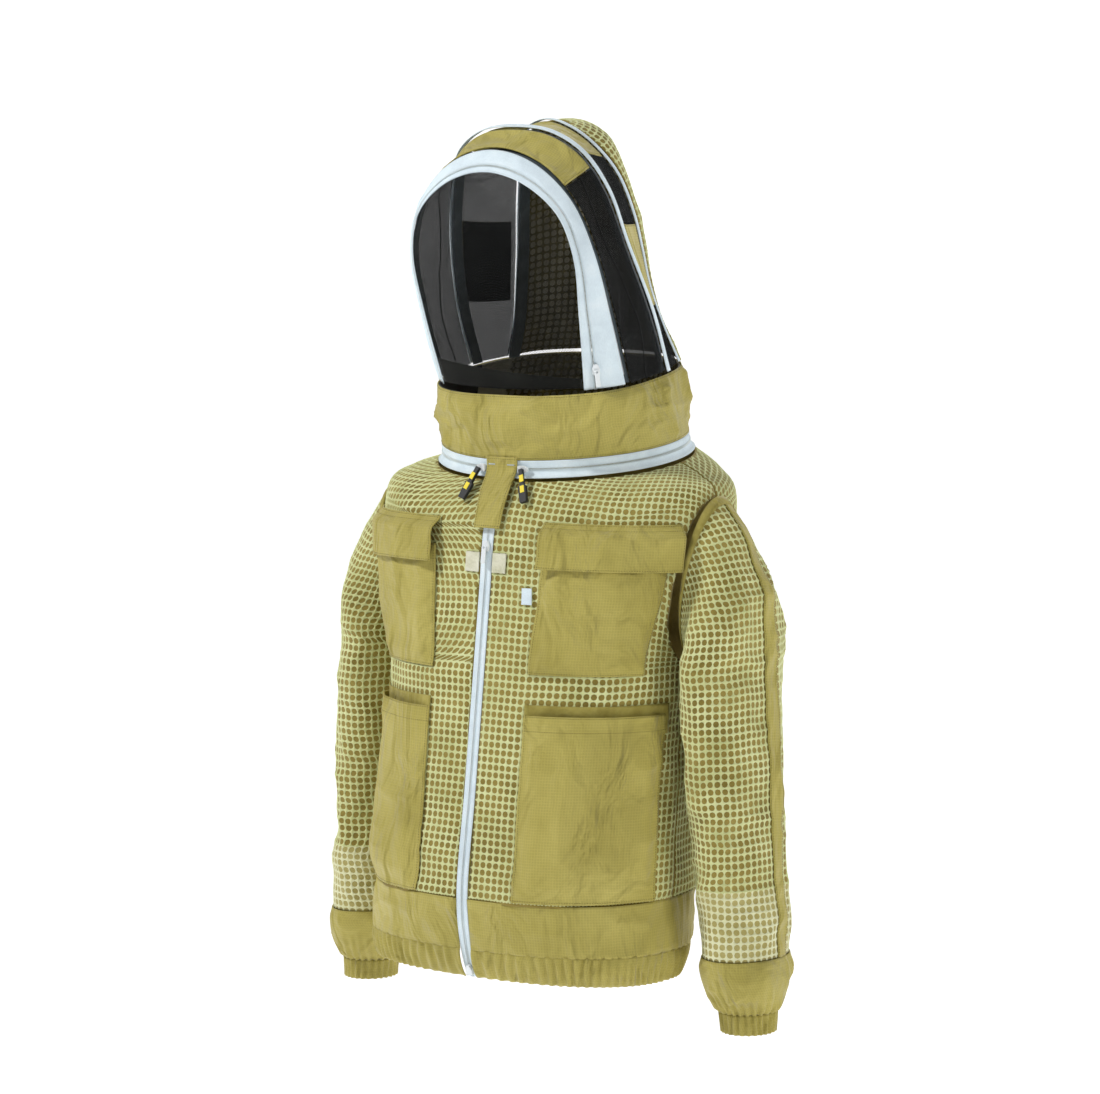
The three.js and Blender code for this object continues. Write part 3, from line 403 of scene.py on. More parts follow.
# %% Neck ring and collar
MESH_CLOTH, PLAIN_CLOTH, TAPE = 4, 1.6, 1.2
SEAM_GAP, LAYER_GAP, FACE_GAP = 0.6, 0.8, 0.7
ZIP_TAPE_WIDTH, LOWER_TAPE_FLARE = 10, 6
NECK_HALF_WIDTH, NECK_HALF_DEPTH = 164, 136
NECK_CENTRE = np.array([0, 25, 4.0])
NECK_TILT = math.radians(8.8)
COLLAR_HEIGHT, LINING_HEIGHT = 80, 72
neck_up = np.array([0, -math.sin(NECK_TILT), math.cos(NECK_TILT)])
neck_back = np.array([0, math.cos(NECK_TILT), math.sin(NECK_TILT)])


def oval(turn, a, b):
    """An oval of four arcs; turn is 0 at the front and 90 at the wearer's left."""
    shift = (a - b) / (2 - math.sqrt(2))
    s, c = np.sin(np.radians(turn)), np.cos(np.radians(turn))
    front = np.abs(c) > math.sqrt(0.5)
    radius = np.where(front, b + shift, a - shift)
    return np.where(front, 0, shift * np.sign(s)) + radius * s, np.where(
        front, shift * np.sign(c), 0,
    ) - radius * c


def super_oval(turn, a, b, squareness):
    s, c = np.sin(np.radians(turn)), np.cos(np.radians(turn))
    return a * np.sign(s) * np.abs(s) ** (2 / squareness), -b * np.sign(c) * np.abs(c) ** (2 / squareness)


def on_neck(x, y, height):
    return points(x, 0, 0) + NECK_CENTRE + np.asarray(y, float)[..., None] * neck_back + np.asarray(
        height, float,
    )[..., None] * neck_up


def neck_ring(turn, height, spread):
    x, y = oval(turn, NECK_HALF_WIDTH + spread, NECK_HALF_DEPTH + spread)
    return on_neck(x, y, height + 0 * x)


collar_base = ZIP_TAPE_WIDTH + SEAM_GAP


def collar_face(turn, share):
    x, y = super_oval(turn, 148, 131, 2.6)
    foot = neck_ring(turn, collar_base, 0)
    return lerp(foot, on_neck(x, y, collar_base + COLLAR_HEIGHT + 0 * x), np.asarray(share)[..., None])


# %% Body
BODY_SQUARENESS = 2.4
YOKE = dict(side=-24, front=-52, back=-14, a=205, b=146, y=21)
SHOULDER = dict(side=-50, front=-88, back=-68, a=234, b=150, y=11.3)
CHEST = dict(side=-150, front=-160, back=-155, a=226, b=152, y=4)
UNDERARM = dict(side=-252, front=-252, back=-252, a=203, b=152, y=-7.8)
BELLY = dict(side=-400, front=-400, back=-400, a=203, b=154, y=-24.9)
WAIST = dict(side=-541, front=-541, back=-541, a=205, b=156, y=-41)
HEM_TOP = dict(side=-603, front=-603, back=-603, a=211, b=136, y=-52)
HEM_END = dict(side=-639, front=-639, back=-639, a=207, b=117, y=-58)
SECTIONS = [YOKE, SHOULDER, CHEST, UNDERARM, BELLY, WAIST]
WAIST_LEVEL = 6
ARMHOLE_HALF_DEPTH = 58
FRONT_ZIP_HALF_WIDTH = 8
front_edge = FRONT_ZIP_HALF_WIDTH + SEAM_GAP


def section_point(section, turn):
    x, y = super_oval(turn, section["a"], section["b"], BODY_SQUARENESS)
    c = np.cos(np.radians(turn))
    return points(
        x, section["y"] + y,
        lerp(section["side"], np.where(c > 0, section["front"], section["back"]), c * c),
    )


def body_face(turn, level):
    """The jacket's outer face; level 0 is the neck tape, then 1 for each section down to the waist."""
    turn, level = np.broadcast_arrays(np.asarray(turn, float), np.asarray(level, float))
    rows = np.stack([neck_ring(
        turn, -ZIP_TAPE_WIDTH - MESH_CLOTH, LOWER_TAPE_FLARE + SEAM_GAP,
    )] + [section_point(s, turn) for s in SECTIONS])
    start = np.clip(np.floor(level).astype(int), 0, WAIST_LEVEL - 1)
    row = lambda k: np.take_along_axis(rows, np.clip(k, 0, WAIST_LEVEL)[None, ..., None], 0)[0]
    a, b = row(start), row(start + 1)
    out, into = (b - row(start - 1)) / 2, (row(start + 2) - a) / 2
    t = (level - start)[..., None]
    return (2 * t**3 - 3 * t**2 + 1) * a + (t**3 - 2 * t**2 + t) * out + (3 * t**2 - 2 * t**3) * b + (t**3 - t**2) * into


def halving(test, low, high, shape, steps=22):
    """Finds, for every point, where a rising test turns true."""
    low, high = np.full(shape, float(low)), np.full(shape, float(high))
    for _ in range(steps):
        middle = (low + high) / 2
        over = test(middle)
        low, high = np.where(over, low, middle), np.where(over, middle, high)
    return (low + high) / 2


def level_at(turn, z):
    turn, z = np.broadcast_arrays(np.asarray(turn, float), np.asarray(z, float))
    return halving(lambda m: body_face(turn, m)[..., 2] <= z, 0, WAIST_LEVEL, turn.shape)


def turn_beside(distance, level):
    distance, level = np.broadcast_arrays(np.asarray(distance, float), np.asarray(level, float))
    return halving(lambda m: body_face(m, level)[..., 0] >= distance, 0, 90, level.shape)


def armhole_cut(level):
    share = (np.asarray(level) - 3) / 2
    reach = ARMHOLE_HALF_DEPTH * np.sqrt(np.maximum(0, 1 - 4 * share * share)) / CHEST["b"]
    return 90 - np.degrees(np.arccos(reach ** (BODY_SQUARENESS / 2)))


def front_panel(u, v):
    level = v * WAIST_LEVEL
    return body_face(lerp(turn_beside(front_edge, level), 89.85 - armhole_cut(level), u), level)


def back_panel(u, v):
    level = v * WAIST_LEVEL
    start = 90.15 + armhole_cut(level)
    return body_face(lerp(start, 360 - start, u), level)


def band_face(upper, lower):
    def face(u, v):
        section = {key: lerp(upper[key], lower[key], v) for key in upper}
        turn = np.degrees(np.arcsin((front_edge / section["a"]) ** (BODY_SQUARENESS / 2)))
        return section_point(section, lerp(turn, 360 - turn, u))
    return face


def below(section, drop):
    return {**section, **{key: section[key] - drop for key in ("side", "front", "back")}}


# %% Sleeves
SLEEVE_TOP = dict(z=-262, a=50, b=90, x=258, y=8)
SLEEVE_END = dict(z=-607, a=47, b=67, x=285, y=2)
WRIST_TOP = dict(z=-676, a=33, b=37, x=290, y=0)
WRIST_END = dict(z=-701, a=31, b=35, x=291, y=0)
ARMPIT_X, ARMPIT_Z = 205, -249
SHOULDER_REACH, SHOULDER_LEAN, HEAD_CLEARANCE = 204, 9, 5


def sleeve_face(upper, lower):
    """A ring of the sleeve between two sections, u from the armpit side forward and round."""
    def face(u, v):
        s = {key: lerp(upper[key], lower[key], v) for key in upper}
        around = 2 * np.pi * u
        return points(s["x"] - s["a"] * np.cos(around), s["y"] - s["b"] * np.sin(around), s["z"])
    return face


def sleeve_head(u, v):
    """A fan of rings that turns from the upright armhole to the level top of the tube."""
    lean = np.radians(lerp(SHOULDER_LEAN, 90, v))
    width = 2 * SLEEVE_TOP["a"]
    reach = width + (SHOULDER_REACH - width) * (1 - v) ** 2
    start_x = lerp(ARMPIT_X, SLEEVE_TOP["x"] - SLEEVE_TOP["a"], v)
    start_z = lerp(ARMPIT_Z, SLEEVE_TOP["z"] + MESH_CLOTH, v)
    half = lerp(ARMHOLE_HALF_DEPTH, SLEEVE_TOP["b"], smooth(v, 0, 0.7))
    around = 2 * np.pi * u
    out = reach / 2 * (1 - np.cos(around))
    y = lerp(CHEST["y"], SLEEVE_TOP["y"], v) - half * np.sin(around)
    return points(start_x + out * np.sin(lean) + HEAD_CLEARANCE * (1 - v), y, start_z + out * np.cos(lean))


def cuff_face(u, v):
    bulge = 9 * np.sin(np.pi * v) * (1 - v / 2)
    p = sleeve_face(SLEEVE_END, {**WRIST_TOP, "z": WRIST_TOP["z"] + SEAM_GAP})(u, v)
    return p + points(-bulge * np.cos(2 * np.pi * u), -bulge * np.sin(2 * np.pi * u), 0)


# %% Hoops and hood
VEIL_EDGE = [
    (0, -150, 345), (58, -149, 331), (104, -143, 294), (120, -133, 245), (116, -115, 172), (105, -88, 79),
]
ARCH_EDGE = [
    (0, -132, 373), (62, -131, 357), (112, -124, 313), (138, -112, 250), (144, -84, 170), (143, -49, 86),
]
MIDDLE_HOOP = [
    (0, -87, 399), (50, -80, 393), (90, -70, 369), (115, -51, 323), (130, -33, 260), (145, 1, 175),
    (147, 34, 98),
]
REAR_HOOP = [
    (0, -12, 407), (32, -8, 397), (55, 9, 375), (72, 33, 340), (85, 49, 290), (91, 57, 250), (98, 64, 204),
    (110, 76, 155), (128, 87, 106),
]
BACK_SEAM = [
    (0, -12, 407), (0, 35, 409), (0, 74, 392), (0, 94, 348), (0, 101, 260), (0, 108, 200), (0, 122, 150),
    (0, 135, 114),
]
HOOP_TAPE_WIDTH, CASING_WIDTH, STAY_RADIUS = 9, 16, 1.3
FRONT_CROWN_SHARE, REAR_CROWN_SHARE, PATCH_FROM, PATCH_TO = 0.3, 0.24, 0.5, 0.78
HOOD_FOOT = 0.993  # the gores stop this share down their hoops, above the collar's edge
FRONT_MARGIN, REAR_MARGIN = 0.1, 0.08
VEIL_TAPE_FROM = 0.7


def hoop(half):
    """A whole hoop by a share from -1 at the right foot over 0 at the crown to 1 at the left."""
    line = Line([(-half[1][0], half[1][1], half[1][2])] + half)
    crown = np.interp(0, line.points[:120, 0], line.lengths[:120]) / line.total

    def curve(share):
        share = np.asarray(share, float)
        p = line.at(lerp(crown, 1, np.minimum(np.abs(share), 1)))
        p[..., 0] = np.abs(p[..., 0]) * np.sign(share)
        return p
    return curve


veil_edge, arch_edge, middle_hoop, rear_hoop = (hoop(half) for half in (
    VEIL_EDGE, ARCH_EDGE, MIDDLE_HOOP, REAR_HOOP,
))
seam_line = Line(BACK_SEAM)


def gore(front, rear):
    """Cloth between two hoops, u from the right foot to the left foot and v from rear to front."""
    return lambda u, v: lerp(rear(2 * u - 1), front(2 * u - 1), np.asarray(v)[..., None])


band_gore, front_gore, rear_gore = gore(veil_edge, arch_edge), gore(
    arch_edge, middle_hoop,
), gore(middle_hoop, rear_hoop)


def part_of(face, u0, u1, v0, v1):
    return lambda u, v: face(lerp(u0, u1, u), lerp(v0, v1, v))


def between(face, from_share, to_share, v0, v1):
    return part_of(face, (from_share + 1) / 2, (to_share + 1) / 2, v0, v1)


def hood_back(u, v):
    side = rear_hoop(lerp(0.07, HOOD_FOOT, v)) + np.array([0, 5, 0])
    seam = seam_line.at(lerp(0.06, 0.985, v))
    angle = np.pi * lerp(0.035, 0.965, u) - np.pi / 2
    centre = points(0, side[..., 1], side[..., 2])
    swing = np.cos(angle)[..., None] * (seam - centre)
    return centre + swing + points(-side[..., 0] * np.sin(angle), 0, 0)


def hoop_strip(curve, before, after, width, lift):
    def face(u, v):
        share = lerp(-HOOD_FOOT, HOOD_FOOT, u)
        p = curve(share)
        across = unit(unit(after(share) - p) - unit(before(share) - p))
        along = curve(np.minimum(share + 0.01, 1)) - curve(np.maximum(share - 0.01, -1))
        out = unit(np.cross(along, across))
        return p + across * (lerp(0.5, -0.5, v) * width)[..., None] + out * lift
    return face


def back_guide(share):
    ridge = seam_line.at(np.minimum(np.abs(share) * 0.9 + 0.1, 1))
    rear = rear_hoop(share)
    return lerp(rear, points(rear[..., 0] * 0.85, ridge[..., 1], rear[..., 2]), 0.5)


def veil_face(u, v):
    share, side = lerp(0.06, 0.985, v), 2 * u - 1
    edge = veil_edge(share)
    bulge = 17 * (0.45 + 0.55 * v) * np.minimum(1, edge[..., 0] / 60)
    dip = 4 * v**8 * (1 - side * side)
    return points(edge[..., 0] * side * 0.985, edge[..., 1] - bulge * (1 - side * side), edge[..., 2] - dip)


# %% [markdown]
# ## From a rule to a piece of cloth
# A piece starts as a fine grid over its rule. Soft folds push it in and out before its wall is made, and die
# away at the seams, where the real cloth is held. The folds are worked out here and not simulated, so each run
# gives the same shape and every seam stays where its neighbours expect it.
# The flat pattern map holds lengths along each row and column of the finished grid.

# %% Grids, normals and the flat pattern
def grid_of(face, columns, rows):
    u, v = np.meshgrid(np.linspace(0, 1, columns + 1), np.linspace(0, 1, rows + 1))
    return face(u, v)


def normals(p, ring):
    if ring:
        wide = np.concatenate([p[:, -2:-1], p, p[:, 1:2]], 1)
        along = wide[:, 2:] - wide[:, :-2]
    else:
        along = np.gradient(p, axis=1)
    return unit(np.cross(np.gradient(p, axis=0), along))


def flat_pattern(p, u_anchor=0.0, v_anchor=0.0):
    """True lengths in metres, across to the left and up, from an anchor column and row."""
    run = np.concatenate(
        [np.zeros((len(p), 1)), np.cumsum(np.linalg.norm(np.diff(p, axis=1), axis=-1), 1)], 1,
    )
    fall = np.concatenate(
        [np.zeros((1, p.shape[1])), np.cumsum(np.linalg.norm(np.diff(p, axis=0), axis=-1), 0)], 0,
    )
    run = run - run[:, [round(u_anchor * (p.shape[1] - 1))]]
    fall = fall - fall[[round(v_anchor * (len(p) - 1))]]
    return np.stack([run, -fall], -1) * MM


def soft_noise(p, size, seed):
    """Smooth noise of -1 to 1 with lumps of the given size in millimetres."""
    numbers = np.random.default_rng(seed).uniform(-1, 1, 4096)
    q = np.asarray(p, float) / size + 1000
    cell = np.floor(q).astype(np.int64)
    t = q - cell
    t = t * t * t * (t * (t * 6 - 15) + 10)
    total = 0
    for dx in (0, 1):
        for dy in (0, 1):
            for dz in (0, 1):
                key = (cell[..., 0] + dx) * 73856093 ^ (cell[
                    ..., 1,
                ] + dy) * 19349663 ^ (cell[..., 2] + dz) * 83492791
                weight = np.where(dx, t[..., 0], 1 - t[..., 0]) * np.where(
                    dy, t[..., 1], 1 - t[..., 1],
                ) * np.where(dz, t[..., 2], 1 - t[..., 2])
                total = total + weight * numbers[key % 4096]
    return total


def creases(p, stretch, size, seed):
    """Long soft folds: noise squeezed across one direction, rounded on top and tight in the valley."""
    bent = p * np.asarray(stretch, float)
    bent = bent + 0.35 * size * np.stack([soft_noise(p, size * 1.4, seed + k) for k in (1, 2, 3)], -1)
    n = soft_noise(bent, size, seed)
    return 1 - 2 * np.abs(n) ** 0.8


def held(p, top=0.0, foot=0.0, sides=0.0):
    """1 inside a piece, fading to 0 at held seams; each value is the share of the piece that the fade takes."""
    rows, columns = p.shape[:2]
    v = np.linspace(0, 1, rows)[:, None]
    u = np.linspace(0, 1, columns)[None, :]
    keep = np.ones((rows, columns))
    if top:
        keep = keep * smooth(v, 0, top)
    if foot:
        keep = keep * smooth(1 - v, 0, foot)
    if sides:
        keep = keep * smooth(u, 0, sides) * smooth(1 - u, 0, sides)
    return keep


def pushed(p, height, ring=False):
    return p + normals(p, ring) * np.asarray(height, float)[..., None]


def closed(p):
    """Makes a ring's last column its first."""
    p = p.copy()
    p[:, -1] = p[:, 0]
    return p


def mirrored(p):
    return p[:, ::-1] * np.array([-1, 1, 1])


# %% Cloth with a wall
PIECES = {}


def mesh_from(name, verts, faces, uvs=None, finish=None, smooth_faces=True):
    mesh = bpy.data.meshes.new(name)
    mesh.vertices.add(len(verts))
    mesh.vertices.foreach_set("co", np.ascontiguousarray(verts, np.float32).ravel())
    faces = np.asarray(faces)
    mesh.loops.add(faces.size)
    mesh.loops.foreach_set("vertex_index", faces.ravel().astype(np.int32))
    mesh.polygons.add(len(faces))
    mesh.polygons.foreach_set("loop_start", np.arange(0, faces.size, faces.shape[1], dtype=np.int32))
    if uvs is not None:
        mesh.uv_layers.new(name="flat").uv.foreach_set(
            "vector", np.ascontiguousarray(uvs, np.float32).ravel(),
        )
    mesh.update()
    mesh.validate()
    if smooth_faces:
        mesh.shade_smooth()
    if finish:
        mesh.materials.append(finish)
    return mesh


def place_piece(name, mesh, body, nodes=()):
    obj = bpy.data.objects.new(name, mesh)
    bpy.context.scene.collection.objects.link(obj)
    PIECES[name] = obj
    if nodes:
        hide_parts(*nodes)
    if body:
        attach(obj, body)
    return obj


def cloth(
    name, p, thickness, finish, ring=False, ride=True, nodes=None, inside=None, body=None,
):
    """A closed cloth whose outer face is the grid p, standing for its frame nodes and riding on their body."""
    nodes = [name] if nodes is None else nodes
    body = body or BODY_OF[nodes[0]]
    rows, columns = p.shape[0] - 1, p.shape[1] - 1
    across = columns if ring else columns + 1
    inner = p - normals(p, ring) * thickness
    verts = np.concatenate([p[:, :across].reshape(-1, 3), inner[:, :across].reshape(-1, 3)]) * MM
    i, j = (a.ravel() for a in np.meshgrid(np.arange(columns), np.arange(rows)))
    n, m = np.arange(columns), np.arange(rows)
    o, w = 0, 1
    strips = [
        [(i, j, o), (i, j + 1, o), (i + 1, j + 1, o), (i + 1, j, o)],
        [(i, j, w), (i + 1, j, w), (i + 1, j + 1, w), (i, j + 1, w)],
        [(n, 0, o), (n + 1, 0, o), (n + 1, 0, w), (n, 0, w)],
        [(n, rows, o), (n, rows, w), (n + 1, rows, w), (n + 1, rows, o)],
    ]
    if not ring:
        strips.append([(0, m, o), (0, m, w), (0, m + 1, w), (0, m + 1, o)])
        strips.append([(columns, m, o), (columns, m + 1, o), (columns, m + 1, w), (columns, m, w)])
    flat = flat_pattern(p)
    faces, uvs = [], []
    for strip in strips:
        corners = [np.broadcast_arrays(*corner) for corner in strip]
        faces.append(np.stack(
            [layer * (rows + 1) * across + jj * across + ii % across for ii, jj, layer in corners], -1,
        ))
        uvs.append(np.stack([flat[jj, ii] for ii, jj, layer in corners], 1))
    mesh = mesh_from(name, verts, np.concatenate(faces), np.concatenate(uvs), finish)
    if inside:
        mesh.materials.append(inside)
        mesh.polygons.foreach_set(
            "material_index",
            np.repeat([0, 1, 0], [len(faces[0]), len(faces[1]), sum(map(len, faces[2:]))]).astype(np.int32),
        )
    obj = place_piece(name + "_cloth", mesh, body if ride else None, nodes)
    x, y = flat[..., 0], flat[..., 1]
    cells = np.abs(np.diff(x, axis=1)[:-1] * np.diff(y, axis=0)[:, :-1]).sum()
    obj["cut"] = [float(np.ptp(x)), float(np.ptp(y)), float(cells)]
    return obj


print("cloth helper ready")

# %% [markdown]
# ## Patterns that lie on cloth
# Lattice, netting and stitches repeat thousands of times, so Geometry Nodes make them from a few named
# sizes. The lattice is drawn flat as a grid of cells with rounded holes, and each point is then looked up
# on the cloth by its place in the flat pattern, so it follows every fold like a print while it stays real
# relief.

# %% A host that lends its surface to a pattern
def host_for(p, ring=False, anchor=(0.0, 0.0)):
    """A bare sheet with the flat pattern map and its outward direction, only there to be looked up."""
    n = normals(p, ring)
    rows, columns = p.shape[0] - 1, p.shape[1] - 1
    i, j = (a.ravel() for a in np.meshgrid(np.arange(columns), np.arange(rows)))
    at = lambda i, j: j * (columns + 1) + i
    faces = np.stack([at(i, j), at(i, j + 1), at(i + 1, j + 1), at(i + 1, j)], -1)
    flat = flat_pattern(p, *anchor)
    uvs = flat.reshape(-1, 2)[faces.ravel()]
    mesh = mesh_from("host", p.reshape(-1, 3) * MM, faces, uvs)
    out = mesh.attributes.new("out", "FLOAT_VECTOR", "POINT")
    out.data.foreach_set("vector", np.ascontiguousarray(n.reshape(-1, 3), np.float32).ravel())
    host = bpy.data.objects.new("host", mesh)
    bpy.context.scene.collection.objects.link(host)
    return host, flat


def start_tree(name, inputs):
    tree = bpy.data.node_groups.new(name, "GeometryNodeTree")
    tree.interface.new_socket("Cloth", in_out="INPUT", socket_type="NodeSocketGeometry")
    for label, kind, value in inputs:
        socket = tree.interface.new_socket(label, in_out="INPUT", socket_type="NodeSocket" + kind)
        if value is not None:
            socket.default_value = value
    tree.interface.new_socket("Made", in_out="OUTPUT", socket_type="NodeSocketGeometry")
    g = Graph(tree)
    return tree, g, g.node("NodeGroupInput").outputs, g.node("NodeGroupOutput").inputs[0]


def end_tree(g, geometry, finish, output):
    real = g.node("GeometryNodeRealizeInstances", Geometry=geometry)
    painted = g.node("GeometryNodeSetMaterial", Geometry=real.outputs[0], Material=finish)
    g.feed(output, painted.outputs[0])


def bake(name, host, tree, values, smooth_faces=True):
    """Runs a tree on a host with named sizes and returns the plain mesh it makes."""
    made = host.modifiers.new(name, "NODES")
    made.node_group = tree
    sockets = {item.name: item.identifier for item in tree.interface.items_tree if getattr(
        item, "in_out", "",
    ) == "INPUT"}
    for label, value in values.items():
        made[sockets[label]] = value
    host.update_tag()
    seen = host.evaluated_get(bpy.context.evaluated_depsgraph_get())
    mesh = bpy.data.meshes.new_from_object(seen)
    mesh.name = name
    if smooth_faces:
        mesh.shade_smooth()
    host.modifiers.remove(made)
    return mesh


def drop(host):
    mesh = host.data
    bpy.data.objects.remove(host)
    bpy.data.meshes.remove(mesh)


# %% Laying a flat drawing on cloth
def lay_on_cloth(g, drawing, cloth_geometry):
    """Moves each point of a flat drawing to its place on the cloth, keeping its height, and drops what misses the cloth."""
    place = g.node("GeometryNodeInputPosition").outputs[0]
    flat = g.node("GeometryNodeInputNamedAttribute", {"data_type": "FLOAT_VECTOR"}, _0="flat").outputs[0]
    out = g.node("GeometryNodeInputNamedAttribute", {"data_type": "FLOAT_VECTOR"}, _0="out").outputs[0]

    def sampled(value):
        found = g.node("GeometryNodeSampleUVSurface", {"data_type": "FLOAT_VECTOR"})
        g.feed(found.inputs["Mesh"], cloth_geometry)
        g.feed(found.inputs["Value"], value)
        g.feed(found.inputs[2], flat)
        g.feed(found.inputs["Sample UV"], place)
        return found

    spot, direction = sampled(place), sampled(out)
    missed = g.node("FunctionNodeBooleanMath", {"operation": "NOT"}, _0=spot.outputs["Is Valid"]).outputs[0]
    kept = g.node("GeometryNodeDeleteGeometry", {"domain": "POINT"}, Geometry=drawing, Selection=missed)
    height = g.node("ShaderNodeSeparateXYZ", Vector=place).outputs["Z"]
    rise = g.node(
        "ShaderNodeVectorMath", {"operation": "SCALE"}, Vector=direction.outputs["Value"], Scale=height,
    )
    target = g.node(
        "ShaderNodeVectorMath", {"operation": "ADD"}, _0=spot.outputs["Value"], _1=rise.outputs[0],
    )
    moved = g.node("GeometryNodeSetPosition", Geometry=kept.outputs[0], Position=target.outputs[0])
    return moved.outputs[0]


# %% The lattice tree
def lattice_tree():
    tree, g, given, output = start_tree("lattice", [
        ("Pitch", "Float", 0.0092), ("Hole share", "Float", 0.8), ("Depth", "Float", 0.0014),
        ("Columns", "Int", 10), ("Rows", "Int", 10), ("Middle", "Vector", None), (
            "Finish", "Material", None,
        )])
    wide = g.maths("MULTIPLY", given["Pitch"], given["Columns"])
    tall = g.maths("MULTIPLY", given["Pitch"], given["Rows"])
    sheet = g.node("GeometryNodeMeshGrid", Size_X=wide, Size_Y=tall,
                   Vertices_X=g.maths(
                       "ADD", given["Columns"], 1.0,
                   ), Vertices_Y=g.maths("ADD", given["Rows"], 1.0))
    down = g.node("ShaderNodeCombineXYZ", Z=-1.0)
    dug = g.node(
        "GeometryNodeExtrudeMesh", {"mode": "FACES"}, Mesh=sheet.outputs[0], Offset=down.outputs[0],
        Offset_Scale=given["Depth"], Individual=True,
    )
    shrunk = g.node(
        "GeometryNodeScaleElements", {"domain": "FACE"}, Geometry=dug.outputs["Mesh"],
        Selection=dug.outputs["Top"], Scale=given["Hole share"],
    )
    open_cells = g.node(
        "GeometryNodeDeleteGeometry", {"domain": "FACE"}, Geometry=shrunk.outputs[0],
        Selection=dug.outputs["Top"],
    )
    rounded = g.node("GeometryNodeSubdivisionSurface", Mesh=open_cells.outputs[0], Level=1)
    centred = g.node("GeometryNodeTransform", Geometry=rounded.outputs[0], Translation=given["Middle"])
    end_tree(g, lay_on_cloth(g, centred.outputs[0], given["Cloth"]), given["Finish"], output)
    return tree


LATTICE = lattice_tree()
PITCH = 0.0092  # one cell of the ventilated fabric
CELL_DEPTH = 0.0013
HOLE_SHARE = 0.885


def lattice_on(name, p, body, ring=False, face_in=False, ride=True, anchor=(0.0, 1.0), yarn=None):
    """Lays the lattice on a grid of cloth; face_in lays it on the cloth's wrong side."""
    if face_in:
        p = (p - normals(p, ring) * MESH_CLOTH)[:, ::-1]
    host, flat = host_for(p, ring, anchor)
    low, high = flat.reshape(-1, 2).min(0), flat.reshape(-1, 2).max(0)
    count = np.ceil((high - low) / PITCH).astype(int) + 1
    middle = low + count * PITCH / 2 - PITCH * 0.5
    mesh = bake(name, host, LATTICE, {"Pitch": PITCH, "Hole share": HOLE_SHARE, "Depth": CELL_DEPTH, "Columns": int(count[0]),
                                      "Rows": int(count[1]), "Middle": (
                                          float(middle[0]), float(middle[1]), 0.0,
                                      ), "Finish": yarn or lattice_yarn})
    drop(host)
    print(name, len(mesh.polygons), "faces")
    return place_piece(name, mesh, body if ride else None)


# %% The netting tree
def netting_tree():
    tree, g, given, output = start_tree("netting", [
        ("Pitch", "Float", 0.002), ("Step", "Float", 0.008), ("Thread radius", "Float", 0.0002),
        ("Threads up", "Int", 10), ("Threads across", "Int", 10), ("Corner", "Vector", None), (
            "Finish", "Material", None,
        )])
    families = []
    for count, other, axis in (("Threads up", "Threads across", "X"), ("Threads across", "Threads up", "Y")):
        long_axis = "Y" if axis == "X" else "X"
        length = g.maths("MULTIPLY", given["Pitch"], given[other])
        samples = g.maths("ADD", g.maths("CEIL", g.maths("DIVIDE", length, given["Step"])), 1.0)
        step = g.node("ShaderNodeCombineXYZ", **{long_axis: given["Step"]})
        gap = g.node("ShaderNodeCombineXYZ", **{axis: given["Pitch"]})
        thread = g.node("GeometryNodeMeshLine", Count=samples, Offset=step.outputs[0])
        starts = g.node(
            "GeometryNodeMeshLine", Count=given[count], Start_Location=given["Corner"],
            Offset=gap.outputs[0],
        )
        laid = g.node("GeometryNodeInstanceOnPoints", Points=starts.outputs[0], Instance=thread.outputs[0])
        families.append(g.node("GeometryNodeRealizeInstances", Geometry=laid.outputs[0]).outputs[0])
    joined = g.node("GeometryNodeJoinGeometry")
    for family in reversed(families):
        g.feed(joined.inputs[0], family)
    on_cloth = lay_on_cloth(g, joined.outputs[0], given["Cloth"])
    curves = g.node("GeometryNodeMeshToCurve", Mesh=on_cloth)
    profile = g.node(
        "GeometryNodeCurvePrimitiveCircle", {"mode": "RADIUS"}, Resolution=3, Radius=given["Thread radius"],
    )
    threads = g.node("GeometryNodeCurveToMesh", Curve=curves.outputs[0], Fill_Caps=True)
    g.feed(threads.inputs["Profile Curve"], profile.outputs[0])
    end_tree(g, threads.outputs[0], given["Finish"], output)
    return tree


NETTING = netting_tree()


def netting_on(name, p, body, pitch=0.002, radius=0.0002, step=0.008):
    host, flat = host_for(p)
    low, high = flat.reshape(-1, 2).min(0), flat.reshape(-1, 2).max(0)
    count = np.ceil((high - low) / pitch).astype(int)
    mesh = bake(name, host, NETTING, {"Pitch": pitch, "Step": step, "Thread radius": radius, "Threads up": int(count[0]),
                                      "Threads across": int(count[1]), "Corner": (
                                          float(low[0]) + pitch / 2, float(low[1]) + pitch / 2, 0.0,
                                      ), "Finish": net_yarn})
    drop(host)
    print(name, len(mesh.polygons), "faces")
    return place_piece(name, mesh, body)


